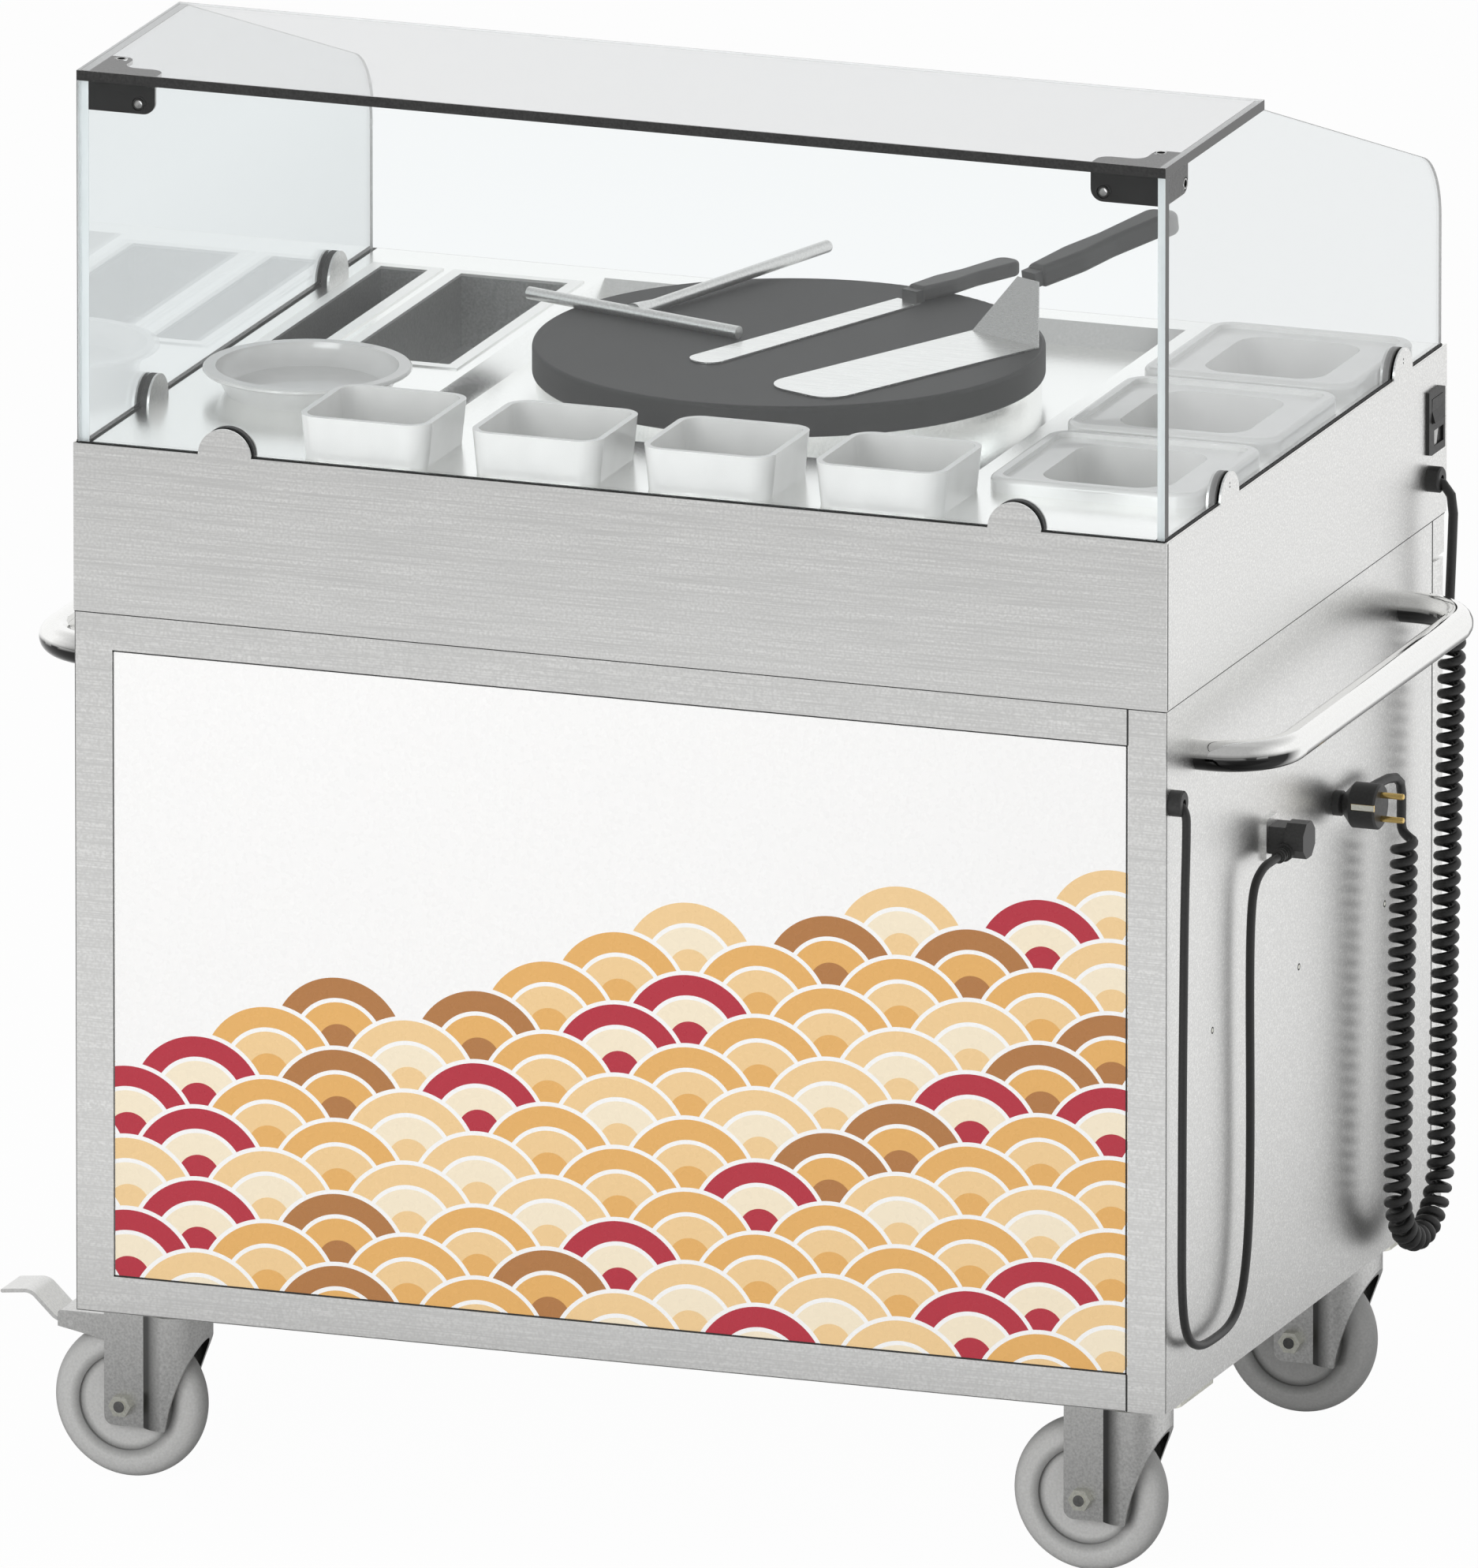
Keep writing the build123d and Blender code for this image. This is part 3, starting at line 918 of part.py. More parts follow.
COIL_START_ANGLE = tail_angle(0) + COIL_SWING
COIL_PART_TURN = (tail_angle(COIL_L) - COIL_SWING - COIL_START_ANGLE) / (2 * math.pi)
COIL_TURNS = round(COIL_L / COIL_PITCH - COIL_PART_TURN) + COIL_PART_TURN


def coil_point(along):
    point, heading = coil_axis(along)
    angle = COIL_START_ANGLE + 2 * math.pi * COIL_TURNS * along / COIL_L
    across = heading.cross(COIL_OUTWARD)
    return point + COIL_OUTWARD * (COIL_R * math.cos(angle)) + across * (COIL_R * math.sin(angle))


def coil_heading(along):
    """Direction of the wire, from the helix on a straight piece of axis at this point."""
    heading = coil_axis(along)[1]
    angle = COIL_START_ANGLE + 2 * math.pi * COIL_TURNS * along / COIL_L
    across = heading.cross(COIL_OUTWARD)
    swirl = across * math.cos(angle) - COIL_OUTWARD * math.sin(angle)
    stretch = 1.0
    if DOWN_L < along < DOWN_L + TURN_L:
        outward = (coil_axis(along)[0] - Vector(COIL_X, COIL_TURN_Y, COIL_TURN_Z)).normalized()
        stretch = 1 + COIL_R * math.sin(angle) * across.dot(outward) / COIL_TURN_R
    return (swirl * (COIL_R * 2 * math.pi * COIL_TURNS / COIL_L) + heading * stretch).normalized()


def tangent_arc(start, end, heading):
    """The arc from start to end that leaves along heading."""
    chord = end - start
    line = chord.normalized()
    bulge = heading - line * heading.dot(line)
    half_angle = math.radians(heading.get_angle(chord)) / 2
    middle = (start + end) * 0.5 + bulge.normalized() * (chord.length / 2 * math.tan(half_angle))
    return ThreePointArc(start, middle, end)


def biarc(start, leave, end, arrive):
    """Two arcs that meet smoothly between two points with given directions."""
    gap, both = end - start, leave + arrive
    spread = 1 - leave.dot(arrive)
    reach = (math.sqrt(gap.dot(both) ** 2 + 2 * spread * gap.dot(gap)) - gap.dot(both)) / (2 * spread)
    before, after = start + leave * reach, end - arrive * reach
    middle = (before + after) * 0.5
    return [tangent_arc(start, middle, leave), tangent_arc(middle, end, (after - before).normalized())]


def tail_join(along, side):
    """Where a straight tail meets the coil's end bend, and its direction along the axis."""
    heading = coil_axis(along)[1]
    wire = coil_heading(along)
    swirl = (wire - heading * wire.dot(heading)).normalized()
    lean = math.radians(heading.get_angle(wire))
    step = swirl * (COIL_STEP_R * (1 - math.cos(lean))) + heading * (COIL_STEP_R * math.sin(lean))
    return coil_point(along) + step * side, heading


def curly_lead():
    """The curls, with a bend and one diameter of straight at each end, as one square-sided tube."""
    top, top_heading = tail_join(0, -1)
    end, end_heading = tail_join(COIL_L, 1)
    straight = 2 * CURLY_R
    edges = [Line(top - top_heading * straight, top), tangent_arc(top, coil_point(0), top_heading)]
    halves = round(2 * COIL_TURNS)
    stations = [COIL_L * i / halves for i in range(halves + 1)]
    for a, b in zip(stations, stations[1:]):
        edges += biarc(coil_point(a), coil_heading(a), coil_point(b), coil_heading(b))
    edges += [tangent_arc(coil_point(COIL_L), end, coil_heading(COIL_L)), Line(end, end + end_heading * straight)]
    path = Wire([edge.edge() for edge in edges])
    side = CURLY_R * math.sqrt(math.pi)
    section = Plane(top - top_heading * straight, z_dir=top_heading) * Rectangle(side, side)
    tube = sweep(section, path=path, clean=False)
    share = tube.volume / (side**2 * path.length)
    print("curly lead curls", round(COIL_TURNS, 1), "volume share", round(share, 4))
    print("curly lead least gap", round(coil_gap(side * math.sqrt(2)), 2))
    return tube


def coil_gap(thickness):
    """Least distance between neighbouring curls, less the section's widest measure."""
    count = 12 * round(COIL_TURNS)
    points = [coil_point(COIL_L * i / count) for i in range(count + 1)]
    gaps = []
    for i, a in enumerate(points):
        gaps += [(points[j] - a).length for j in range(i + 8, min(i + 17, count + 1))]
    return min(gaps) - thickness


def upper_tail():
    """From the deck gland, over a tight bend and straight down to the curls."""
    points = [(HALF_W + LEAD_START, GLAND_Y, DECK_GLAND_AT), UPPER_BEND, UPPER_JOIN]
    return cord("upper tail", points, CURLY_R, [DECK_LEAD_TURN_R])


def lower_tail():
    """From the curls up and over to the plug's side exit."""
    end, heading = tail_join(COIL_L, 1)
    start = end + heading * (2 * CURLY_R)
    crest_z = PLUG_EXIT_Z - CREST_DROP
    crest = start + heading * ((crest_z - start.Z) / heading.Z)
    exit_x = SIDE_X + PLUG_EXIT_X
    points = [start, crest, (exit_x, PLUG_EXIT_Y + CREST_REACH, PLUG_EXIT_Z), (exit_x, PLUG_EXIT_Y, PLUG_EXIT_Z)]
    return cord("lower tail", points, CURLY_R)


def appliance_lead():
    """From the cabinet gland down in a long loop and up into the connector's relief."""
    relief_x = SIDE_X + RELIEF_OUT
    drop_x = SIDE_X + LEAD_OUT
    y, z = CABINET_GLAND_Y, CABINET_GLAND_Z
    points = [(SIDE_X + LEAD_START, y, z), (drop_x, y, z), (drop_x, y, z - LEAD_DROP)]
    loop = [
        (-1, 12, 560), (-1.5, 11, 480), (-2, 10.5, 400), (-2, 10, 315), (-2, 9.5, 244), (-2, 21, 210), (-2, 49, 196),
        (-2, 85, 193.5), (-2, 120, 194.5), (-2, 145, 206), (-2, 159, 236), (-2, 165.5, 275), (-2, 167.5, 325),
        (-2, 167, 385), (-2, 165.5, 455), (-2, 167, 505), (-1, 171, 535), (2, 185, 547)]
    points += [(drop_x + out, -HALF_D + back, up) for out, back, up in loop]
    points += [(relief_x, RELIEF_Y - 12, RELIEF_Z), (relief_x, RELIEF_Y, RELIEF_Z)]
    vectors = [Vector(*point) for point in points]
    radii = fitted_radii(vectors)
    radii[0] = LEAD_TURN_R
    return cord("appliance lead", points, APPLIANCE_R, radii)


UPPER_END, UPPER_HEADING = tail_join(0, -1)
UPPER_JOIN = UPPER_END - UPPER_HEADING * (2 * CURLY_R)
UPPER_BEND = UPPER_JOIN + UPPER_HEADING * ((DECK_GLAND_AT - UPPER_JOIN.Z) / UPPER_HEADING.Z)
GLAND_Y = UPPER_BEND.Y


# Parts

RIGHT_PANEL = side_panel(FRONT_Y, STILE_W)
RIGHT_PANEL -= rod_x(GLAND_SHANK_R, SIDE_X - SHEET, SIDE_X, CABINET_GLAND_Y, CABINET_GLAND_Z)
save("right_side_panel", RIGHT_PANEL)
save("left_side_panel", mirrored(side_panel(FRONT_Y + SHEET, STILE_W - INSERT_LAP - SEAM)))
save("front_frame", front_frame())
save("front_insert", front_insert())
save("cabinet_floor", cabinet_floor())
save("mid_shelf", mid_shelf())
save("rear_header", rear_header())
RIGHT_DOOR = right_door()
save("right_door", RIGHT_DOOR)
save("left_door", mirrored(RIGHT_DOOR))
save("deck_shell", deck_shell())
save("worktop", worktop())
save("utensil_wells", well(*NARROW_WELL), well(*WIDE_WELL))
save("clamp_pads", *half_discs(0, PAD_T))
save("glass_clamps", *half_discs(PAD_T, PAD_T + CLAMP_T))
save("front_glass", front_glass())
RIGHT_GLASS = right_glass()
save("side_glass", RIGHT_GLASS, mirrored(RIGHT_GLASS))
save("top_glass", top_glass())
RIGHT_BRACKET = corner_bracket()
save("corner_brackets", RIGHT_BRACKET, mirrored(RIGHT_BRACKET))
save("griddle_base", griddle_base())
save("griddle_plate", griddle_plate())
save("heating_element", heating_element())
for number, pan_y in enumerate(PAN_YS, 1):
    save("pan_" + str(number), pan(pan_y))
for number in range(RAMEKIN_COUNT):
    save("ramekin_" + str(number + 1), ramekin(number))
save("round_dish", round_dish())
save("spreader", spreader())
save("knife_blade", knife_blade())
save("knife_handle", knife_handle())
save("turner_blade", turner_blade())
save("turner_handle", turner_handle())
RIGHT_HANDLE = push_handle()
save("push_handles", RIGHT_HANDLE, mirrored(RIGHT_HANDLE))

CASTER_X = HALF_W - CASTER_INSET_X
CASTER_Y = HALF_D - CASTER_INSET_Y
CASTERS = {
    "front_left": (-CASTER_X, -CASTER_Y, True),
    "front_right": (CASTER_X, -CASTER_Y, False),
    "rear_left": (-CASTER_X, CASTER_Y, True),
    "rear_right": (CASTER_X, CASTER_Y, False),
}
save("caster_plates", *[Pos(x, y, 0) * caster_plate() for x, y, _ in CASTERS.values()])
for place, (x, y, braked) in CASTERS.items():
    spot = Pos(x, y, 0)
    save("fork_" + place, spot * fork(braked))
    save("axle_" + place, spot * axle())
    save("wheel_" + place, spot * wheel_core(), spot * tyre())
    if braked:
        save("pedal_" + place, spot * pedal())

save("switch_housing", switch_housing())
save("rocker", rocker())
DECK_GLAND = gland(HALF_W, GLAND_Y, DECK_GLAND_AT, DECK_GLAND_L, CURLY_R, False)
CABINET_GLAND = gland(SIDE_X, CABINET_GLAND_Y, CABINET_GLAND_Z, CABINET_GLAND_L, APPLIANCE_R, True)
save("cable_glands", DECK_GLAND, CABINET_GLAND)
save("curly_lead", curly_lead())
save("lead_tails", upper_tail(), lower_tail())
save("mains_plug", mains_plug())
save("plug_pins", *plug_pins())
save("appliance_lead", appliance_lead())
save("appliance_connector", appliance_connector())
save("appliance_inlet", appliance_inlet())
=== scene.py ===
# %% [markdown]
# # A crepe cart
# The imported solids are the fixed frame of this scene. They already have the right sizes and joints, so the
# cells below add only what solids can't carry: finishes, soft leads, a printed front, seals and studio light.

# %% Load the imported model
import math

import bmesh
import bpy
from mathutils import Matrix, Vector


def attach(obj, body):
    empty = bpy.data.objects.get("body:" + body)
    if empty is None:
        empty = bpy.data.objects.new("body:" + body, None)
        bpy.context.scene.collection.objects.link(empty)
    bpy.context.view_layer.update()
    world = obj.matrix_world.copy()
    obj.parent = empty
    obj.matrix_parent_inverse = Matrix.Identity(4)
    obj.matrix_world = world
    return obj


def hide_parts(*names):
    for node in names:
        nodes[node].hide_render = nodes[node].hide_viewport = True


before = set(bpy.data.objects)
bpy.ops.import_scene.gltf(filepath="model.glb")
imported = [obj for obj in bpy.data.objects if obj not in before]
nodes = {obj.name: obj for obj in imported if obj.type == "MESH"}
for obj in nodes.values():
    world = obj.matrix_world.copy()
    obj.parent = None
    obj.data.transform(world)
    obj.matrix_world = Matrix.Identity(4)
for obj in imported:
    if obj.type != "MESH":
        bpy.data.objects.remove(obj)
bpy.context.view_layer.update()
MM = 0.001

# %% [markdown]
# ## Camera
# The photograph is a parallel view from 20 degrees to the right and 15 degrees above. A very long lens far
# away gives nearly the same picture and keeps real perspective for every other view.

# %% Camera
AZIMUTH, ELEVATION = math.radians(20), math.radians(15)
VIEW_HEIGHT = 1.221
LENS, SENSOR = 1500.0, 36.0
CLIP_NEAR, CLIP_FAR = 1.0, 200.0
AIM = Vector((-0.0191, 0.0, 0.534))

flat = math.cos(ELEVATION)
to_camera = Vector((math.sin(AZIMUTH) * flat, -math.cos(AZIMUTH) * flat, math.sin(ELEVATION)))
camera_data = bpy.data.cameras.new("camera")
camera_data.lens = LENS
camera_data.sensor_fit = "VERTICAL"
camera_data.sensor_height = SENSOR
camera_data.clip_start = CLIP_NEAR
camera_data.clip_end = CLIP_FAR
camera = bpy.data.objects.new("camera", camera_data)
camera.location = AIM + to_camera * (VIEW_HEIGHT * LENS / SENSOR)
camera.rotation_euler = to_camera.to_track_quat("Z", "Y").to_euler()
bpy.context.scene.collection.objects.link(camera)
bpy.context.scene.camera = camera
bpy.context.scene.view_settings.view_transform = "Standard"
print("camera at", [round(v, 2) for v in camera.location])


# %% [markdown]
# ## Leads
# A lead is one soft line. A NURBS spline through a few route points sags and turns the way rubber does, so
# each route is written once and the spline does the rounding. The lead's radius sits on the points and the
# bevel is 1, because Blender grows a curve's box by its point radius, and that box should stay true.

# %% Helpers for leads
BEVEL_STEPS, SPLINE_ORDER = 4, 3


def in_metres(points):
    return [Vector(point) * MM for point in points]


def nurbs_curve(name, points, radius, steps):
    curve = bpy.data.curves.new(name, "CURVE")
    curve.dimensions = "3D"
    curve.resolution_u = steps
    curve.bevel_depth = 1.0 if radius else 0.0
    curve.bevel_resolution = BEVEL_STEPS
    curve.use_fill_caps = radius > 0
    spline = curve.splines.new("NURBS")
    spline.points.add(len(points) - 1)
    for place, point in zip(spline.points, points):
        place.co = (*point, 1.0)
        place.radius = radius
    spline.order_u = SPLINE_ORDER
    spline.use_endpoint_u = True
    piece = bpy.data.objects.new(name, curve)
    bpy.context.scene.collection.objects.link(piece)
    return piece


def points_along(route):
    """Points of a curve without bevel, in order, and the length up to each of them."""
    bpy.context.view_layer.update()
    mesh = bpy.data.meshes.new_from_object(route)
    line = [vertex.co.copy() for vertex in mesh.vertices]
    bpy.data.meshes.remove(mesh)
    lengths = [0.0]
    for before, after in zip(line, line[1:]):
        lengths.append(lengths[-1] + (after - before).length)
    return line, lengths


print("lead helpers ready")

# %% [markdown]
# The appliance lead comes out of the cabinet gland, hangs in one long loop and ends in the angled connector.
# It could be a swept tube, but a spline keeps its bends soft.

# %% Appliance lead
APPLIANCE_R, APPLIANCE_STEPS = 3.5 * MM, 12
APPLIANCE_ROUTE = [
    (450.4, -312, 640.4), (461.9, -312, 640.4), (461.9, -312, 610), (460.9, -313, 560), (460.4, -314, 480),
    (459.9, -314.5, 400), (459.9, -315, 315), (459.9, -315.5, 244), (459.9, -304, 210), (459.9, -276, 196),
    (459.9, -240, 193.5), (459.9, -205, 194.5), (459.9, -180, 206), (459.9, -166, 236), (459.9, -159.5, 275),
    (459.9, -157.5, 325), (459.9, -158, 385), (459.9, -159.5, 455), (459.9, -158, 505), (460.9, -154, 535),
    (463.9, -140, 547), (467, -128, 549), (467, -116, 549)]
appliance_points = in_metres(APPLIANCE_ROUTE)
appliance_lead = nurbs_curve("appliance_lead_soft", appliance_points, APPLIANCE_R, APPLIANCE_STEPS)
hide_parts("appliance_lead")
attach(appliance_lead, "cart")
print("appliance lead points", len(appliance_points))

# %% [markdown]
# The mains lead is a curly one. Its axis is a route of its own: down, round a bottom turn and up again. The
# curls wind round points read from that route, and the whole lead, straight tails included, is one spline.
# The curl starts and ends at an angle that meets the tails without a kink. A spline runs inside its points,
# so they stand out by that share.

# %% Curly mains lead
CURL_R, CURLY_R = 7.3 * MM, 3.85 * MM
POINTS_PER_CURL, CURL_STEPS = 12, 881
AXIS_STEPS, MAINS_STEPS = 40, 3
CURL_START = math.radians(-75)
SPLINE_PULL = (1 + math.cos(2 * math.pi / POINTS_PER_CURL) / 3) * 0.75
COIL_X = 475.2
TURN_Y, TURN_Z, TURN_REACH = 193.0, 216.5, 53.5
TURN_DEGREES = (-10, -50, -90, -130, -170)
UPPER_TAIL = [(450.4, 283.6, 752), (471, 283.6, 752), (470, 281.5, 700), (468, 282, 658), (468, 281, 644)]
LOWER_TAIL = [(468, 169, 499), (468, 170, 513), (469, 167.6, 546), (462, 117.6, 547), (462, 87.6, 547)]

coil_route = [(COIL_X, 268.2, 640), (COIL_X, 260, 500), (COIL_X, 251, 350), (COIL_X, 244.5, 240)]
for degrees in TURN_DEGREES:
    angle = math.radians(degrees)
    coil_route.append((COIL_X, TURN_Y + TURN_REACH * math.cos(angle), TURN_Z + TURN_REACH * math.sin(angle)))
coil_route += [(COIL_X, 143.5, 240), (COIL_X, 149, 350), (COIL_X, 154, 450), (COIL_X, 156.2, 495)]
axis_curve = nurbs_curve("coil_axis", in_metres(coil_route), 0.0, AXIS_STEPS)
axis_line, axis_lengths = points_along(axis_curve)
bpy.data.objects.remove(axis_curve)

mains_points = in_metres(UPPER_TAIL)
outward = Vector((1, 0, 0))
segment = 0
for step in range(CURL_STEPS + 1):
    along = axis_lengths[-1] * step / CURL_STEPS
    while segment < len(axis_line) - 2 and axis_lengths[segment + 1] < along:
        segment += 1
    run = axis_line[segment + 1] - axis_line[segment]
    centre = axis_line[segment] + run * ((along - axis_lengths[segment]) / run.length)
    across = run.normalized().cross(outward)
    angle = CURL_START + 2 * math.pi * step / POINTS_PER_CURL
    swing = outward * math.cos(angle) + across * math.sin(angle)
    mains_points.append(centre + swing * (CURL_R / SPLINE_PULL))
mains_points += in_metres(LOWER_TAIL)
mains_lead = nurbs_curve("mains_lead_soft", mains_points, CURLY_R, MAINS_STEPS)
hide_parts("curly_lead", "lead_tails")
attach(mains_lead, "cart")
print("curls", round(CURL_STEPS / POINTS_PER_CURL, 1), "points", len(mains_points))


# %% [markdown]
# Both leads' lengths along their splines are measured and printed.

MEASURE_STEPS = 8


def spline_length(points):
    route = nurbs_curve("measure", points, 0.0, MEASURE_STEPS)
    total = points_along(route)[1][-1]
    bpy.data.objects.remove(route)
    return total


appliance_length = spline_length(appliance_points)
mains_length = spline_length(mains_points)
print("lead lengths", round(appliance_length, 2), round(mains_length, 2))


# %% [markdown]
# ## Shared surface effects
# Brushing, casting grain and handling marks turn up in many finishes. Each is a node group that is built once
# and placed with its own values. Small helpers keep the node code short: they add sums, ranges, mixes and
# placed groups, and read the three parts of a place or a direction.

# %% Node helpers
def shader_group(name, inputs, outputs):
    group = bpy.data.node_groups.new(name, "ShaderNodeTree")
    for label, kind, value in inputs:
        group.interface.new_socket(label, in_out="INPUT", socket_type=kind).default_value = value
    for label, kind in outputs:
        group.interface.new_socket(label, in_out="OUTPUT", socket_type=kind)
    return group, group.nodes.new("NodeGroupInput"), group.nodes.new("NodeGroupOutput")


def feed(tree, value, socket):
    if isinstance(value, bpy.types.NodeSocket):
        tree.links.new(value, socket)
    else:
        socket.default_value = value


def maths(tree, operation, *values):
    node = tree.nodes.new("ShaderNodeMath")
    node.operation = operation
    for value, socket in zip(values, node.inputs):
        feed(tree, value, socket)
    return node.outputs["Value"]


def chained(tree, operation, total, *values):
    """One operation over several values."""
    for value in values:
        total = maths(tree, operation, total, value)
    return total


def ranged(tree, value, low, high, to_low, to_high):
    node = tree.nodes.new("ShaderNodeMapRange")
    for entry, socket in zip((value, low, high, to_low, to_high), node.inputs):
        feed(tree, entry, socket)
    return node.outputs["Result"]


def faded(tree, value, low, high):
    """From 0 to 1 while the value goes from low to high."""
    return ranged(tree, value, low, high, 0.0, 1.0)


def mixed(tree, factor, first, second, blend="MIX"):
    node = tree.nodes.new("ShaderNodeMix")
    node.data_type = "RGBA"
    node.blend_type = blend
    sockets = {socket.identifier: socket for socket in node.inputs}
    for value, key in ((factor, "Factor_Float"), (first, "A_Color"), (second, "B_Color")):
        feed(tree, value, sockets[key])
    return next(socket for socket in node.outputs if socket.identifier == "Result_Color")


def blended(tree, factor, first, second):
    """Mix of two shaders."""
    node = tree.nodes.new("ShaderNodeMixShader")
    for value, socket in zip((factor, first, second), node.inputs):
        tree.links.new(value, socket)
    return node.outputs["Shader"]


def placed(tree, group):
    node = tree.nodes.new("ShaderNodeGroup")
    node.node_tree = group
    return node


def axes(tree, output, kind="ShaderNodeTexCoord"):
    """The X, Y and Z of what a coordinate node gives."""
    place = tree.nodes.new(kind)
    parts = tree.nodes.new("ShaderNodeSeparateXYZ")
    tree.links.new(place.outputs[output], parts.inputs["Vector"])
    return parts.outputs


print("node helpers ready")


# %% [markdown]
# The grain group is stretched noise between two tones. The noise also moves the roughness and gives a height
# for bump. A slow second noise stands for wiping marks, and a fine third one adds specks.

# %% Grain group
STREAK, STREAK_DETAIL = (0.25, 0.75), 1.0
WIPE_SCALE, WIPE_DETAIL = 7.0, 4.0
SPECK, SPECK_SCALE = (0.3, 0.7), 480.0


def noise(tree, vector, scale, detail):
    node = tree.nodes.new("ShaderNodeTexNoise")
    node.inputs["Scale"].default_value = scale
    node.inputs["Detail"].default_value = detail
    tree.links.new(vector, node.inputs["Vector"])
    return node.outputs["Fac"]


def grain_group(name):
    inputs = [
        ("Dark", "NodeSocketColor", (0.5, 0.5, 0.5, 1)), ("Light", "NodeSocketColor", (0.6, 0.6, 0.6, 1)),
        ("Frequency", "NodeSocketVector", (30, 800, 800)), ("Rough Low", "NodeSocketFloat", 0.3),
        ("Rough High", "NodeSocketFloat", 0.4), ("Smudge", "NodeSocketFloat", 0.05),
        ("Speckle", "NodeSocketFloat", 0.0)]
    outputs = [("Color", "NodeSocketColor"), ("Roughness", "NodeSocketFloat"), ("Height", "NodeSocketFloat")]
    group, start, end = shader_group(name, inputs, outputs)
    given = start.outputs
    place = group.nodes.new("ShaderNodeTexCoord").outputs["Object"]
    mapping = group.nodes.new("ShaderNodeMapping")
    group.links.new(place, mapping.inputs["Vector"])
    group.links.new(given["Frequency"], mapping.inputs["Scale"])
    streak = noise(group, mapping.outputs["Vector"], 1.0, STREAK_DETAIL)
    wipe = noise(group, place, WIPE_SCALE, WIPE_DETAIL)
    speck = noise(group, place, SPECK_SCALE, 0.0)
    tone = mixed(group, faded(group, streak, *STREAK), given["Dark"], given["Light"])
    tone = mixed(group, ranged(group, speck, *SPECK, 0.0, given["Speckle"]), tone, given["Dark"])
    rough = ranged(group, streak, *STREAK, given["Rough Low"], given["Rough High"])
    rough = maths(group, "MULTIPLY_ADD", wipe, given["Smudge"], rough)
    group.links.new(tone, end.inputs["Color"])
    group.links.new(rough, end.inputs["Roughness"])
    group.links.new(streak, end.inputs["Height"])
    return group


GRAIN = grain_group("surface_grain")
print("group", GRAIN.name)


# %% [markdown]
# ## Finishes
# Every finish is a Principled shader fed by the grain group. Metal is fully metallic, so the blurred mirror
# images of the leads on the side panel come from roughness alone.

# %% Finish helpers
BUMP_HEIGHT = 0.1 * MM
GREY_WARMTH = 0.985
PLACES = ("front_left", "front_right", "rear_left", "rear_right")
BRUSH = (15, 420, 950)
BLADE = (40, 300, 1500)
FINE = (520, 520, 520)


def finish(name, dark, light, frequency, rough, smudge=0.05, bump=0.1, metallic=0.0, speckle=0.0, **plain):
    material = bpy.data.materials.new(name)
    material.use_nodes = True
    tree = material.node_tree
    shader = tree.nodes["Principled BSDF"]
    grain = placed(tree, GRAIN)
    settings = {
        "Dark": (*dark, 1), "Light": (*light, 1), "Frequency": frequency, "Rough Low": rough[0],
        "Rough High": rough[1], "Smudge": smudge, "Speckle": speckle}
    for label, value in settings.items():
        grain.inputs[label].default_value = value
    tree.links.new(grain.outputs["Color"], shader.inputs["Base Color"])
    tree.links.new(grain.outputs["Roughness"], shader.inputs["Roughness"])
    if bump:
        relief = tree.nodes.new("ShaderNodeBump")
        relief.inputs["Strength"].default_value = bump
        relief.inputs["Distance"].default_value = BUMP_HEIGHT
        tree.links.new(grain.outputs["Height"], relief.inputs["Height"])
        tree.links.new(relief.outputs["Normal"], shader.inputs["Normal"])
    shader.inputs["Metallic"].default_value = metallic
    for socket, value in plain.items():
        shader.inputs[socket.replace("_", " ")].default_value = value
    return material


def grain_of(material):
    groups = [node for node in material.node_tree.nodes if node.type == "GROUP"]
    return next(node for node in groups if node.node_tree == GRAIN)


def grey(value):
    return (value, value, value * GREY_WARMTH)


def dress(material, *names):
    for name in names:
        mesh = nodes[name].data
        mesh.materials.clear()
        mesh.materials.append(material)


print("finish helpers ready")


# %% [markdown]
# The sheet metal is brushed along the cart's width. On the sides the same brush is seen end on, as fine
# grain. The worktop has no direction, so its grain is even.

# %% Metals
def metal(name, dark, light, frequency, rough, bump, **more):
    return finish(name, dark, light, frequency, rough, bump=bump, metallic=1.0, **more)


def blade_finish(name):
    return metal(name, grey(0.78), grey(0.88), BLADE, (0.22, 0.26), 0.02)


sheet_steel = metal("sheet_steel", grey(0.72), grey(1.0), BRUSH, (0.29, 0.36), 0.06, speckle=0.7)
dress(
    sheet_steel, "right_side_panel", "left_side_panel", "front_frame", "cabinet_floor", "mid_shelf",
    "rear_header", "right_door", "left_door", "deck_shell", "appliance_inlet")
worktop_steel = metal("worktop_steel", grey(0.93), grey(1.0), FINE, (0.16, 0.23), 0.06, speckle=0.4)
dress(worktop_steel, "worktop", "griddle_base")
dress(metal("clamp_steel", grey(0.5), grey(0.68), FINE, (0.28, 0.36), 0.08), "glass_clamps")
# The wells' steel is set darker than the worktop's: painted shade for the inside of the deep wells. Their
# rims get the bright tone back further down.
well_steel_painted_shade = metal("well_steel_painted_shade", grey(0.42), grey(0.58), FINE, (0.3, 0.4), 0.06)
dress(well_steel_painted_shade, "utensil_wells")
polished = metal("polished_steel", grey(0.8), grey(0.9), FINE, (0.14, 0.2), 0.03)
dress(blade_finish("blade_steel"), "knife_blade")
dress(metal("spreader_steel", grey(0.62), grey(0.76), FINE, (0.26, 0.34), 0.04), "spreader")
chrome = metal("bright_chrome", grey(0.86), grey(0.92), FINE, (0.03, 0.06), 0.0, smudge=0.03)
dress(chrome, "push_handles")
zinc = metal("zinc_steel", (0.7, 0.7, 0.63), (0.88, 0.88, 0.8), FINE, (0.25, 0.4), 0.1)
dress(zinc, "caster_plates", *["axle_" + place for place in PLACES])
pedal_steel = metal("pedal_steel", grey(0.66), grey(0.84), FINE, (0.26, 0.36), 0.06)
dress(pedal_steel, "pedal_front_left", "pedal_rear_left")
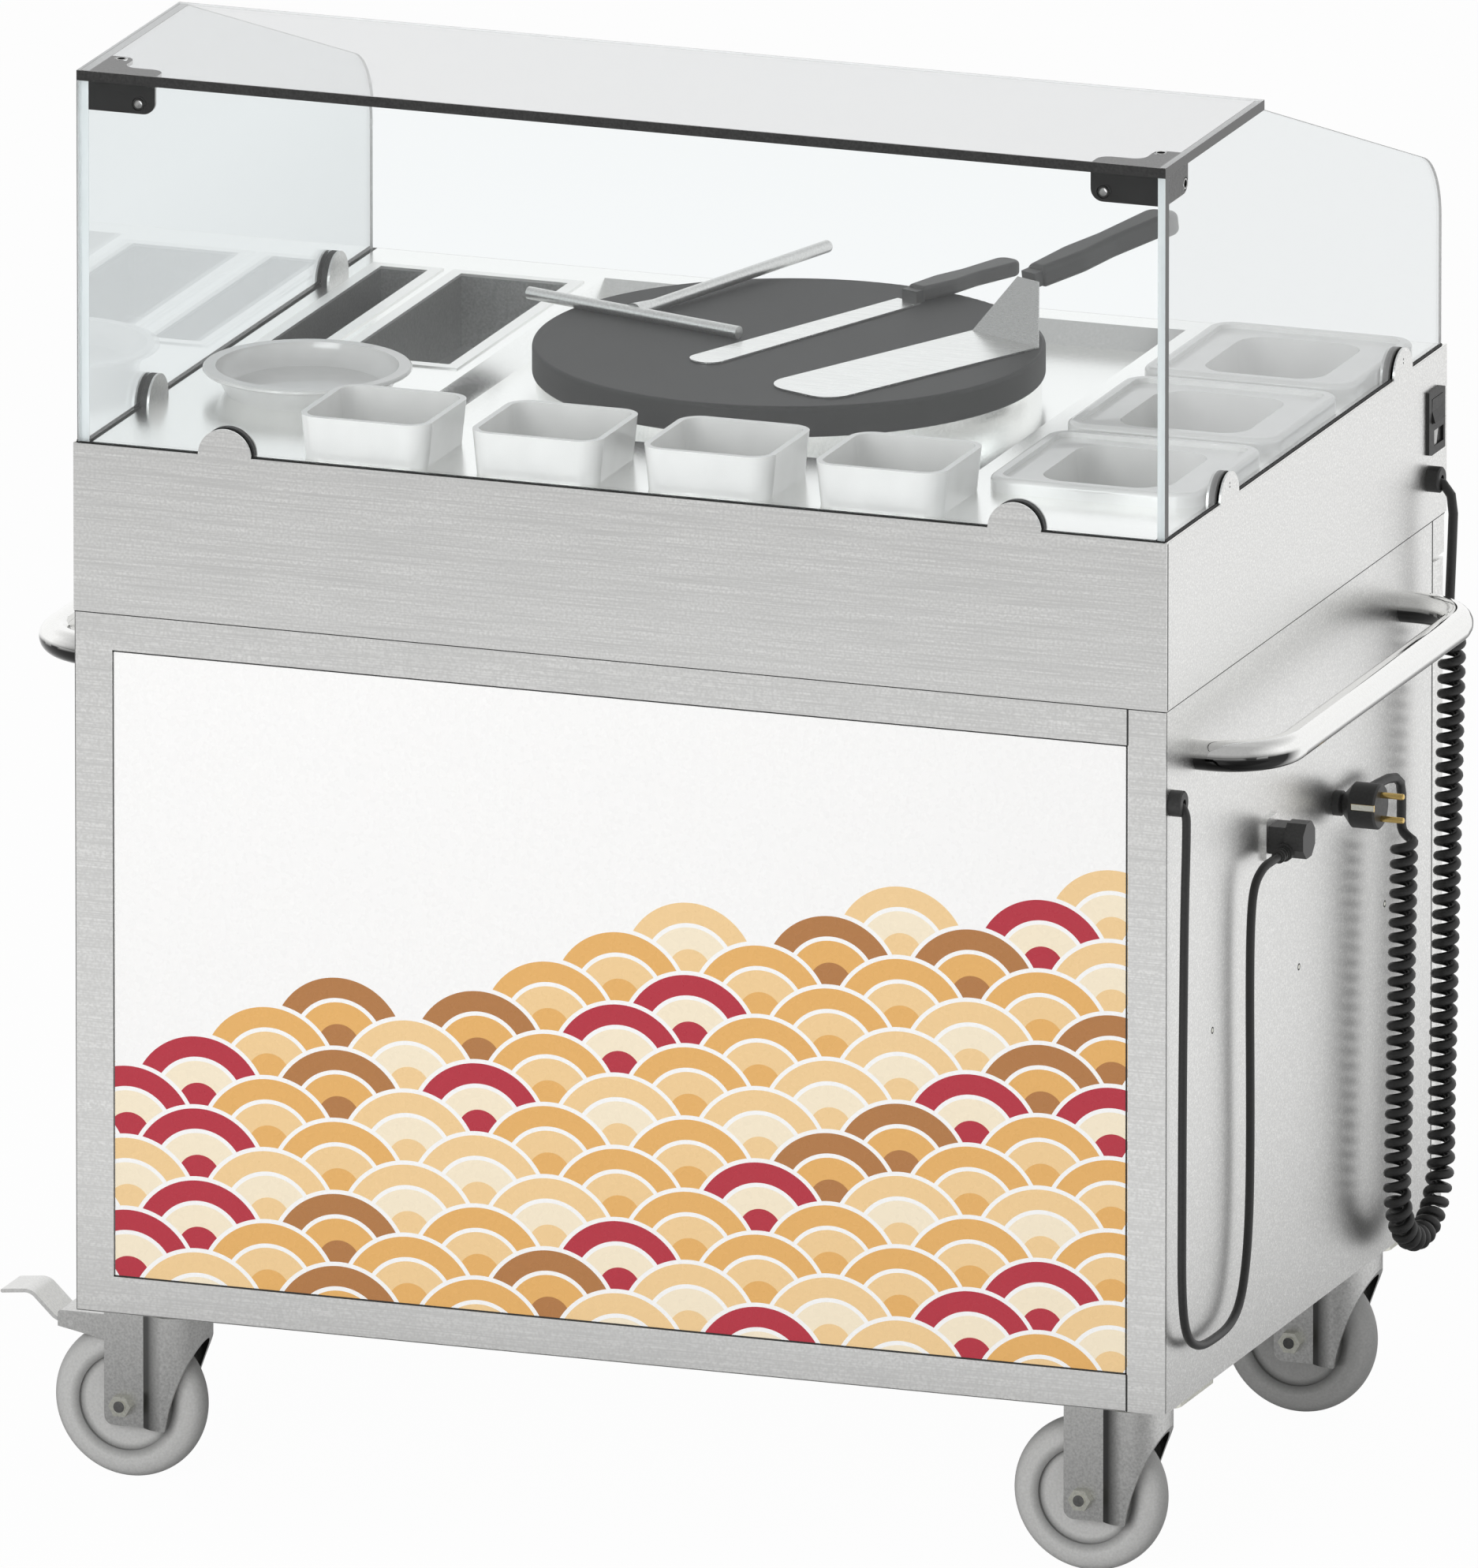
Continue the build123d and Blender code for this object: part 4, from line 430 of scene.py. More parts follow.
caster_steel = metal("caster_steel", grey(0.56), grey(0.78), FINE, (0.3, 0.4), 0.15)
dress(caster_steel, *["fork_" + place for place in PLACES])
dress(metal("brass_pins", (0.72, 0.5, 0.16), (0.82, 0.6, 0.24), FINE, (0.14, 0.24), 0.05), "plug_pins")
print("metal finishes done")


# %% [markdown]
# Chrome shows the dark room under it, and here that reflection is painted into the plating: the legs of a
# handle carry a painted dark band below, the elbows a dark patch beside a bright crescent, the long rail only
# a fine line. A group finds those faces from the surface's own direction and paints the plating dark there,
# from every side alike. Each pair of numbers says where a mask starts and where it is full.

# %% Chrome handles
BELOW, RAIL_LINE, PATCH = (0.3, -0.05), (-0.68, -0.75), (0.25, 0.05)
LEG, ELBOW = (0.2, 0.45), (0.3, 0.5)
CRESCENT, CRESCENT_EDGE = 0.66, (0.03, 0.06)


def painted_reflection_group(name):
    inputs = [
        ("Bright", "NodeSocketColor", (0.9, 0.9, 0.9, 1)),
        ("Shade", "NodeSocketColor", (0.03, 0.03, 0.03, 1))]
    group, start, end = shader_group(name, inputs, [("Color", "NodeSocketColor")])
    normal = axes(group, "Normal")
    outward = maths(group, "ABSOLUTE", normal["X"])
    leg = faded(group, maths(group, "ABSOLUTE", normal["Y"]), *LEG)
    band = maths(group, "MULTIPLY", faded(group, normal["Z"], *BELOW), leg)
    patch = faded(group, normal["Z"], *PATCH)
    crescent = maths(group, "ABSOLUTE", maths(group, "SUBTRACT", outward, CRESCENT))
    crescent = faded(group, crescent, *CRESCENT_EDGE)
    elbow = chained(group, "MULTIPLY", faded(group, outward, *ELBOW), leg, patch, crescent)
    mask = chained(group, "MAXIMUM", band, faded(group, normal["Z"], *RAIL_LINE), elbow)
    colour = mixed(group, mask, start.outputs["Bright"], start.outputs["Shade"])
    group.links.new(colour, end.inputs["Color"])
    return group


tree = chrome.node_tree
shade = placed(tree, painted_reflection_group("chrome_painted_reflection"))
tree.links.new(grain_of(chrome).outputs["Color"], shade.inputs["Bright"])
tree.links.new(shade.outputs["Color"], tree.nodes["Principled BSDF"].inputs["Base Color"])
print("chrome done")


# %% [markdown]
# The plate is cast iron with a matt seasoning. Crockery is white glaze; handles, plug and switch are satin
# black plastic; the leads are black rubber.

# %% Iron, glaze, plastic and rubber
GLAZE_GRAIN = (40, 40, 40)
PANS, RAMEKINS = (1, 2, 3), (1, 2, 3, 4)


def glazed(name, dark, light):
    return finish(name, dark, light, GLAZE_GRAIN, (0.12, 0.18), bump=0.02, Coat_Weight=0.4)


iron = finish(
    "griddle_iron", grey(0.014), grey(0.03), FINE, (0.5, 0.62), bump=0.25, Specular_IOR_Level=0.34)
dress(iron, "griddle_plate")
dress(finish("heater_steel", grey(0.1), grey(0.16), FINE, (0.5, 0.6)), "heating_element")
glaze = glazed("white_glaze", grey(0.78), grey(0.84))
dress(glaze, *["pan_%d" % n for n in PANS], *["ramekin_%d" % n for n in RAMEKINS])
# The round dish gets a darker copy of the white glaze: painted shade.
dress(glazed("dish_glaze_painted_shade", grey(0.65), grey(0.71)), "round_dish")
black = finish("black_plastic", grey(0.018), grey(0.03), FINE, (0.38, 0.5), bump=0.12)
dress(black, "switch_housing", "rocker", "cable_glands", "mains_plug")
dark_grip = finish(
    "dark_grip", grey(0.04), grey(0.06), FINE, (0.36, 0.46), bump=0.12, Specular_IOR_Level=0.4)
dress(dark_grip, "knife_handle", "turner_handle", "appliance_connector")
pad_rubber = finish("pad_rubber", grey(0.012), grey(0.022), FINE, (0.5, 0.6))
dress(pad_rubber, "clamp_pads")
lead_rubber = finish("lead_rubber", grey(0.012), grey(0.022), FINE, (0.34, 0.44), bump=0.1)
for lead in (appliance_lead, mains_lead):
    lead.data.materials.append(lead_rubber)
print("iron, glaze, plastic and rubber done")


# %% [markdown]
# On a caster the fold beside the round tower of the fork is painted dark, and so are the step between hub and
# tyre and the edge of the tread: that is painted shade. Both masks come from the piece itself, so they turn
# with it: the fork's from its surface direction, the wheel's from the distance to its own axle. The same
# helper gives the wells' rims the worktop's bright tone over the wells' darker steel, and paints the steep
# crank of the turner darker, a painted reflection of the plate that it mirrors.

# %% Painted shade on folds and steps, well rims, and the crank's painted reflection
AXLE_Z, AXLE_XS = 62.5, {"left": -433.6, "right": 360.4}
WELL_RIM_Z = 849.0
FOLD, FLANK, STEEP = (-0.08, -0.5), (0.5, 0.62), (0.94, 0.82)
HUB_EDGE, TYRE_EDGE, TREAD_EDGE = (0.034, 0.039), (0.039, 0.046), (0.056, 0.0625)
HUB_SHADE, TREAD_SHADE = 0.75, 0.35


def shaded(material, group, shade):
    """Give a finish another tone where the group's mask says so; below that is painted shade, a painted
    reflection and the wells' rim tone.
    """
    tree = material.node_tree
    mask = placed(tree, group)
    toned = mixed(tree, mask.outputs["Mask"], grain_of(material).outputs["Color"], (*shade, 1))
    tree.links.new(toned, tree.nodes["Principled BSDF"].inputs["Base Color"])
    return mask


def mask_group(name, inputs=()):
    return shader_group(name, inputs, [("Mask", "NodeSocketFloat")])


def painted_fold_shade_group(name):
    group, _, end = mask_group(name)
    normal = axes(group, "Normal")
    flank = faded(group, maths(group, "ABSOLUTE", normal["Y"]), *FLANK)
    fold = maths(group, "MULTIPLY", faded(group, normal["X"], *FOLD), flank)
    group.links.new(fold, end.inputs["Mask"])
    return group


def painted_step_shade_group(name):
    axle = [(label, "NodeSocketFloat", 0.0) for label in ("Axle X", "Axle Z")]
    group, start, end = mask_group(name, axle)
    place = axes(group, "Object")
    across = maths(group, "SUBTRACT", place["X"], start.outputs["Axle X"])
    up = maths(group, "SUBTRACT", place["Z"], start.outputs["Axle Z"])
    squares = [maths(group, "POWER", value, 2.0) for value in (across, up)]
    reach = maths(group, "SQRT", maths(group, "ADD", *squares))
    hub = ranged(group, reach, *HUB_EDGE, 0.0, HUB_SHADE)
    tyre = ranged(group, reach, *TYRE_EDGE, 1.0, 0.0)
    tread = ranged(group, reach, *TREAD_EDGE, 0.0, TREAD_SHADE)
    group.links.new(maths(group, "ADD", maths(group, "MULTIPLY", hub, tyre), tread), end.inputs["Mask"])
    return group


def rim_group(name):
    group, start, end = mask_group(name, [("Rim Z", "NodeSocketFloat", WELL_RIM_Z * MM)])
    height = axes(group, "Object")["Z"]
    group.links.new(maths(group, "GREATER_THAN", height, start.outputs["Rim Z"]), end.inputs["Mask"])
    return group


def painted_crank_reflection_group(name):
    group, _, end = mask_group(name)
    level = maths(group, "ABSOLUTE", axes(group, "Normal")["Z"])
    group.links.new(faded(group, level, *STEEP), end.inputs["Mask"])
    return group


turner_steel = blade_finish("turner_steel")
shaded(turner_steel, painted_crank_reflection_group("crank_painted_reflection"), grey(0.44))
dress(turner_steel, "turner_blade")
shaded(caster_steel, painted_fold_shade_group("fork_fold_painted_shade"), grey(0.1))
shaded(well_steel_painted_shade, rim_group("well_rim"), grey(0.9))
wheel_painted_shade = painted_step_shade_group("wheel_painted_shade")
for place in PLACES:
    rubber = finish("grey_tyre_" + place, grey(0.44), grey(0.52), FINE, (0.42, 0.52), bump=0.12)
    mask = shaded(rubber, wheel_painted_shade, grey(0.13))
    mask.inputs["Axle X"].default_value = AXLE_XS[place.split("_")[1]] * MM
    mask.inputs["Axle Z"].default_value = AXLE_Z * MM
    dress(rubber, "wheel_" + place)
print("shading done")


# %% [markdown]
# The hood brackets are grey steel, but the flange that faces the front pane is dark and not metallic. One
# material does both: the object's own normal tells the front faces, and that mask blends steel into the dark
# tone.

# %% Hood brackets
DARK_FACING = -0.7


def bracket_group(name):
    inputs = [
        ("Steel", "NodeSocketColor", (0.4, 0.4, 0.4, 1)),
        ("Dark Front", "NodeSocketColor", (0.03, 0.03, 0.03, 1))]
    outputs = [("Color", "NodeSocketColor"), ("Metallic", "NodeSocketFloat")]
    group, start, end = shader_group(name, inputs, outputs)
    front = maths(group, "LESS_THAN", axes(group, "Normal")["Y"], DARK_FACING)
    colour = mixed(group, front, start.outputs["Steel"], start.outputs["Dark Front"])
    group.links.new(colour, end.inputs["Color"])
    group.links.new(maths(group, "SUBTRACT", 1.0, front), end.inputs["Metallic"])
    return group


bracket_steel = finish("bracket_steel", grey(0.38), grey(0.62), FINE, (0.36, 0.46), bump=0.1)
tree = bracket_steel.node_tree
shader = tree.nodes["Principled BSDF"]
facing = placed(tree, bracket_group("front_dark_flange"))
facing.inputs["Dark Front"].default_value = (*grey(0.018), 1)
tree.links.new(grain_of(bracket_steel).outputs["Color"], facing.inputs["Steel"])
tree.links.new(facing.outputs["Color"], shader.inputs["Base Color"])
tree.links.new(facing.outputs["Metallic"], shader.inputs["Metallic"])
dress(bracket_steel, "corner_brackets")
print("bracket steel done")


# %% [markdown]
# ## Glass
# The panes refract as real 8 mm glass does, which shifts what stands behind the side pane. Shadow rays and
# soft bounce light pass straight through, so the goods under the hood get the same light as the rest.

# %% Glass
GLASS_IOR = 1.5
TINTS = {
    "front_glass": (0.95, 0.975, 0.98), "side_glass": (0.83, 0.855, 0.86), "top_glass": (0.74, 0.75, 0.755)}


def glass(name, tint):
    material = bpy.data.materials.new(name)
    material.use_nodes = True
    tree = material.node_tree
    shader = tree.nodes["Principled BSDF"]
    shader.inputs["Base Color"].default_value = (*tint, 1)
    shader.inputs["Roughness"].default_value = 0.0
    shader.inputs["IOR"].default_value = GLASS_IOR
    shader.inputs["Transmission Weight"].default_value = 1.0
    clear = tree.nodes.new("ShaderNodeBsdfTransparent")
    path = tree.nodes.new("ShaderNodeLightPath").outputs
    passing = maths(tree, "MAXIMUM", path["Is Shadow Ray"], path["Is Diffuse Ray"])
    surface = blended(tree, passing, shader.outputs["BSDF"], clear.outputs["BSDF"])
    tree.links.new(surface, tree.nodes["Material Output"].inputs["Surface"])
    return material


for name, tint in TINTS.items():
    dress(glass(name, tint), name)
print("panes", len(TINTS))


# %% [markdown]
# ## Printed front
# The front panel carries a print. This one is a plain scallop pattern in pancake and berry colours on white.
# Flat discs could be stacked in mesh, but they would lie too close together to sort cleanly, so the print is
# worked out in the shader: each point asks the four rows of discs that can reach it, and the lowest row that
# does wins.

# %% One row of scallops
PRINT_Z0 = 182.5
SCALLOP_R = 58.0
ROW_STEP = SCALLOP_R / 2
ROW_BASE = PRINT_Z0 - SCALLOP_R - ROW_STEP
CREST_MID, CREST_SWING, CREST_WAVE, CREST_SHIFT = 250.0, 105.0, 330.0, 100.0
PAPER = (0.86, 0.86, 0.855, 1)
GOLD, TAN, BROWN = (0.72, 0.4, 0.12, 1), (0.8, 0.56, 0.28, 1), (0.4, 0.17, 0.05, 1)
CREAM, BERRY = (0.84, 0.74, 0.56, 1), (0.42, 0.02, 0.04, 1)
CHANCES = (0.0, 0.3, 0.58, 0.8)
INKED, BLANK = (1, 1, 1, 1), (0, 0, 0, 1)
CORE, INNER_RIM, BAND, OUTER_RIM = 0.3, 0.6, 0.66, 0.94


def steps_of(tree, value, stops):
    ramp = tree.nodes.new("ShaderNodeValToRGB")
    ramp.color_ramp.interpolation = "CONSTANT"
    elements = ramp.color_ramp.elements
    elements[0].position, elements[0].color = stops[0]
    elements[1].position, elements[1].color = stops[1]
    for position, colour in stops[2:]:
        elements.new(position).color = colour
    feed(tree, value, ramp.inputs["Fac"])
    return ramp.outputs["Color"]


def scallop_row(name):
    inputs = [(label, "NodeSocketFloat", 0.0) for label in ("Across", "Up", "Row")]
    outputs = [("Color", "NodeSocketColor"), ("Mask", "NodeSocketFloat")]
    group, start, end = shader_group(name, inputs, outputs)
    row = start.outputs["Row"]
    shift = maths(group, "MULTIPLY", maths(group, "MODULO", row, 2.0), SCALLOP_R)
    across = maths(group, "SUBTRACT", start.outputs["Across"], shift)
    offset = maths(group, "WRAP", across, SCALLOP_R, -SCALLOP_R)
    middle = maths(group, "SUBTRACT", start.outputs["Across"], offset)
    height = maths(group, "MULTIPLY_ADD", row, ROW_STEP, ROW_BASE)
    rise = maths(group, "SUBTRACT", start.outputs["Up"], height)
    squares = [maths(group, "MULTIPLY", value, value) for value in (offset, rise)]
    distance = maths(group, "DIVIDE", maths(group, "SQRT", maths(group, "ADD", *squares)), SCALLOP_R)
    wave = maths(group, "SINE", maths(group, "DIVIDE", maths(group, "ADD", middle, CREST_SHIFT), CREST_WAVE))
    crest = maths(group, "MULTIPLY_ADD", wave, CREST_SWING, CREST_MID + PRINT_Z0)
    inside = maths(group, "LESS_THAN", distance, 1.0)
    below = maths(group, "LESS_THAN", height, crest)
    joined = group.nodes.new("ShaderNodeCombineXYZ")
    group.links.new(maths(group, "ROUND", maths(group, "DIVIDE", middle, SCALLOP_R)), joined.inputs["X"])
    group.links.new(row, joined.inputs["Y"])
    chance = group.nodes.new("ShaderNodeTexWhiteNoise")
    chance.noise_dimensions = "2D"
    group.links.new(joined.outputs["Vector"], chance.inputs["Vector"])
    pick = chance.outputs["Value"]
    outer = steps_of(group, pick, list(zip(CHANCES, (GOLD, TAN, BROWN, BERRY))))
    inner = steps_of(group, pick, list(zip(CHANCES, (TAN, CREAM, GOLD, CREAM))))
    outer_rings = steps_of(group, distance, [(0.0, INKED), (CORE, BLANK), (BAND, INKED), (OUTER_RIM, BLANK)])
    inner_ring = steps_of(group, distance, [(0.0, BLANK), (CORE, INKED), (INNER_RIM, BLANK)])
    colour = mixed(group, inner_ring, mixed(group, outer_rings, PAPER, outer), inner)
    group.links.new(colour, end.inputs["Color"])
    group.links.new(maths(group, "MULTIPLY", inside, below), end.inputs["Mask"])
    return group


SCALLOPS = scallop_row("scallop_row")
print("group", SCALLOPS.name)


# %% [markdown]
# Four copies of that row, one above the other, make the print. The ink gets a trace of paper grain, and the
# back of the panel stays bare.

# %% Printed front
BARE_PANEL = (0.62, 0.62, 0.61, 1)
PAPER_GRAIN, PAPER_DARK, PAPER_LIGHT = (160, 160, 160), (0.994, 0.994, 0.994), (1, 1, 1)
PRINTED_FACING = -0.5
ROWS_ABOVE = (3.0, 2.0, 1.0, 0.0)


def printed_front(name):
    material = finish(name, PAPER_DARK, PAPER_LIGHT, PAPER_GRAIN, (0.26, 0.28), smudge=0.01, bump=0.0)
    tree = material.node_tree
    place = axes(tree, "Object")
    across = maths(tree, "DIVIDE", place["X"], MM)
    up = maths(tree, "DIVIDE", place["Z"], MM)
    rise = maths(tree, "SUBTRACT", up, ROW_BASE + SCALLOP_R)
    first = maths(tree, "CEIL", maths(tree, "DIVIDE", rise, ROW_STEP))
    colour = PAPER
    for above in ROWS_ABOVE:
        row = placed(tree, SCALLOPS)
        tree.links.new(across, row.inputs["Across"])
        tree.links.new(up, row.inputs["Up"])
        tree.links.new(maths(tree, "ADD", first, above), row.inputs["Row"])
        colour = mixed(tree, row.outputs["Mask"], colour, row.outputs["Color"])
    facing = axes(tree, "Normal")["Y"]
    colour = mixed(tree, maths(tree, "LESS_THAN", facing, PRINTED_FACING), BARE_PANEL, colour)
    inked = mixed(tree, 1.0, colour, grain_of(material).outputs["Color"], "MULTIPLY")
    tree.links.new(inked, tree.nodes["Principled BSDF"].inputs["Base Color"])
    return material


dress(printed_front("print_ink"), "front_insert")
print("print done")


# %% [markdown]
# ## Trim
# Seals, hems, ground glass edges and screws are too thin for the solids. They are built in bmesh from two
# shapes: a bar with softened edges and a turned profile. A last helper links the mesh, dresses it
# and mounts it.

# %% Mesh helpers
BAR_FACES = ((0, 1, 3, 2), (4, 6, 7, 5), (0, 4, 5, 1), (2, 3, 7, 6), (0, 2, 6, 4), (1, 5, 7, 3))


def piece_from(bm, name, materials, body):
    bmesh.ops.recalc_face_normals(bm, faces=bm.faces[:])
    mesh = bpy.data.meshes.new(name)
    bm.to_mesh(mesh)
    bm.free()
    piece = bpy.data.objects.new(name, mesh)
    bpy.context.scene.collection.objects.link(piece)
    for material in materials:
        mesh.materials.append(material)
    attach(piece, body)


def add_bar(bm, low, high, soften=0.0, index=0):
    xs, ys, zs = zip(low, high)
    made = [bm.verts.new(Vector((x, y, z)) * MM) for x in xs for y in ys for z in zs]
    faces = [bm.faces.new([made[i] for i in ids]) for ids in BAR_FACES]
    if soften:
        edges = list({edge for face in faces for edge in face.edges})
        rounded = bmesh.ops.bevel(
            bm, geom=edges, offset=soften * MM, segments=2, affect="EDGES", profile=0.5)
        faces = [face for face in faces if face.is_valid] + rounded["faces"]
    for face in faces:
        face.material_index = index


def add_turned(bm, origin, axis, profile, count=24, indices=None):
    """Turn (radius, along) pairs in mm about an axis; indices gives each band its material."""
    axis = Vector(axis).normalized()
    side = axis.orthogonal().normalized()
    other = axis.cross(side)
    turns = [2 * math.pi * i / count for i in range(count)]
    rings = []
    for radius, along in profile:
        centre = (Vector(origin) + axis * along) * MM
        if radius == 0:
            rings.append([bm.verts.new(centre)])
            continue
        spokes = [(side * math.cos(turn) + other * math.sin(turn)) * radius * MM for turn in turns]
        rings.append([bm.verts.new(centre + spoke) for spoke in spokes])
    for band, (lower, upper) in enumerate(zip(rings, rings[1:])):
        for i in range(count):
            j = (i + 1) % count
            corners = [ring[k % len(ring)] for ring, k in ((lower, i), (lower, j), (upper, j), (upper, i))]
            face = bm.faces.new(list(dict.fromkeys(corners)))
            face.smooth = True
            face.material_index = indices[band] if indices else 0


print("mesh helpers ready")

# %% [markdown]
# Ground glass edges scatter light and look dark or milky, while a perfect refracting block shows its far end.
# Thin strips on the edges give that look: milky where a side pane butts against the front pane, as a ground
# edge is, and dark on the outer ends, partly the ground finish and partly painted dark reflection.

# %% Ground glass edges
GLASS_X, GLASS_FRONT, GLASS_INNER = 447.5, -322.5, -314.5
SIDE_START, SIDE_INNER = -314.0, 439.5
DECK_TOP, HOOD_Z0, HOOD_Z1, HOOD_REAR = 850.0, 1140.0, 1148.0, -95.0
STRIP, HAIR, EDGE_LINE = 0.08, 0.02, 2.2
DARK, BLACK, MILKY, FROST, PALE = range(5)
SEAT_BANDS = ((0.0, 0.7, FROST), (0.7, 6.6, PALE), (7.3, 0.7, FROST))
REAR_BANDS = ((0.1, 0.8, FROST), (0.8, 7.2, PALE), (7.2, 7.9, FROST))

edge_dark = finish("edge_dark", grey(0.06), grey(0.09), FINE, (0.25, 0.35), bump=0.05)
edge_black = finish("edge_black", grey(0.012), grey(0.03), FINE, (0.3, 0.4), bump=0.05)
edge_frost = finish("edge_frost", grey(0.36), grey(0.48), FINE, (0.3, 0.4), bump=0.05)
edge_milky = finish(
    "edge_milky", (0.84, 0.89, 0.9), (0.93, 0.97, 0.98), (300, 300, 12), (0.3, 0.4), bump=0.05, Alpha=0.65)
edge_pale = finish("edge_pale", (0.86, 0.88, 0.88), (0.95, 0.97, 0.97), FINE, (0.3, 0.4), bump=0.05)
bm = bmesh.new()
butt = (GLASS_INNER + SIDE_START) / 2
for side in (-1, 1):
    add_bar(bm, (side * SIDE_INNER, butt, DECK_TOP), (side * GLASS_X, butt + STRIP, HOOD_Z0), index=MILKY)
    for start, width, index in SEAT_BANDS:
        inner = side * (SIDE_INNER + start)
        seat = (inner, SIDE_START, HOOD_Z0 + HAIR)
        add_bar(bm, seat, (inner + side * width, HOOD_REAR - STRIP, HOOD_Z0 + STRIP), index=index)
right, left = GLASS_X + STRIP, HAIR - GLASS_X
left_in, face_in, line_in = left + STRIP, GLASS_FRONT + HAIR, GLASS_FRONT + EDGE_LINE
add_bar(bm, (GLASS_X, GLASS_FRONT, DECK_TOP), (right, GLASS_INNER, HOOD_Z0), index=DARK)
add_bar(bm, (GLASS_X, GLASS_FRONT, HOOD_Z0), (right, HOOD_REAR, HOOD_Z1), index=DARK)
add_bar(bm, (left, face_in, DECK_TOP), (left_in, line_in, HOOD_Z0), index=DARK)
add_bar(bm, (left, line_in, DECK_TOP), (left_in, GLASS_INNER - HAIR, HOOD_Z0), index=PALE)
add_bar(bm, (left, face_in, HOOD_Z0 + STRIP), (left_in, HOOD_REAR - STRIP, HOOD_Z1 - HAIR), index=PALE)
for low, high, index in REAR_BANDS:
    seat = (-GLASS_X + STRIP, HOOD_REAR - STRIP, HOOD_Z0 + low)
    add_bar(bm, seat, (GLASS_X - STRIP, HOOD_REAR - HAIR, HOOD_Z0 + high), index=index)
add_bar(bm, (-GLASS_X, GLASS_FRONT - STRIP, HOOD_Z0), (GLASS_X, GLASS_FRONT, HOOD_Z1), index=BLACK)
print("edge faces", len(bm.faces))
edge_looks = [edge_dark, edge_black, edge_milky, edge_frost, edge_pale]
piece_from(bm, "glass_edges", edge_looks, "cart")


# %% [markdown]
# The side panes have a sloping top and a rounded rear corner. Their ground edge follows the outline of the
# solid pane, so its faces are read from the pane, set in by a hair and thickened. Nothing in the pane itself
# is touched. The hole for the bush and the seat of the top pane stay clear.

# %% Ground edges of the side panes
BUSH_Z, BUSH_X, BUSH_FRONT_X, BUSH_Y = 1125.0, 427.5, 396.5, -276.5
HOLE_REACH, SEAT_REACH = 8.0, 1.0
FLAT_SIDE, FRONT_END, UNDERSIDE = 0.5, -0.7, -0.5
WELD_STEPS = 1e5


def outline_band(pane, keep):
    bm = bmesh.new()
    place = pane.matrix_world
    made = {}
    for polygon in pane.data.polygons:
        if not keep(place @ polygon.center / MM, polygon.normal):
            continue
        corners = []
        for vertex in polygon.vertices:
            point = place @ pane.data.vertices[vertex].co
            key = tuple(round(value * WELD_STEPS) for value in point)
            made[key] = made.get(key) or bm.verts.new(point)
            corners.append(made[key])
        if len(set(corners)) > 2:
            bm.faces.new(corners)
    bm.normal_update()
    for vertex, normal in [(vertex, vertex.normal.copy()) for vertex in bm.verts]:
        vertex.co -= normal * HAIR * MM
    bmesh.ops.solidify(bm, geom=bm.faces[:], thickness=STRIP * MM)
    return bm


def outer_edge(centre, normal):
    hole = math.hypot(centre.y - BUSH_Y, centre.z - BUSH_Z) < HOLE_REACH
    seat = centre.z > HOOD_Z0 - SEAT_REACH
    edge = abs(normal.x) < FLAT_SIDE and normal.y > FRONT_END and normal.z > UNDERSIDE
    return edge and not hole and not seat


bm = outline_band(nodes["side_glass"], outer_edge)
print("side pane edge faces", len(bm.faces))
piece_from(bm, "side_edges", [edge_frost], "cart")

# %% [markdown]
# The panes stand in a black seal, and the deck's upper edge is folded to a small bright hem outside it.

# %% Seal and hem
SEAL_X, SEAL_Y, SEAL_SIDE_Y, SEAL_END = 448.3, -323.2, -322.0, 318.5
SEAL_Z0, SEAL_FRONT_Z, SEAL_SIDE_Z, SEAL_SOFT = 849.8, 851.2, 852.4, 0.3
HEM_X, HEM_IN_X, HEM_Y, HEM_IN_Y, HEM_END = 450.0, 448.35, -324.98, -323.6, 325.0
HEM_Z0, HEM_FRONT_Z, HEM_SIDE_Z = 849.9, 850.4, 851.0
HEM_FRONT_SOFT, HEM_SIDE_SOFT = 0.2, 0.5

bm = bmesh.new()
add_bar(bm, (-GLASS_X, SEAL_Y, SEAL_Z0), (GLASS_X, GLASS_FRONT, SEAL_FRONT_Z), SEAL_SOFT)
for side in (-1, 1):
    seat = (side * GLASS_X, SEAL_SIDE_Y, SEAL_Z0)
    add_bar(bm, seat, (side * SEAL_X, SEAL_END, SEAL_SIDE_Z), SEAL_SOFT)
piece_from(bm, "glass_seal", [pad_rubber], "cart")

bm = bmesh.new()
add_bar(bm, (-HEM_X, HEM_Y, HEM_Z0), (HEM_X, HEM_IN_Y, HEM_FRONT_Z), HEM_FRONT_SOFT)
for side in (-1, 1):
    seat = (side * HEM_IN_X, HEM_Y, HEM_Z0)
    add_bar(bm, seat, (side * HEM_X, HEM_END, HEM_SIDE_Z), HEM_SIDE_SOFT)
piece_from(bm, "deck_hem", [polished], "cart")
print("seal and hem done")

# %% [markdown]
# Where sheets meet there is a fine line of shade, painted here as a dark line: at both front corners, under
# the deck's lower edge, between the rails and the right stile, and round the printed panel. Each line is a
# thin bar that stands a hair proud of its sheet. The tables give its corners on a side, or its plane and
# edges on the front, and its tone.

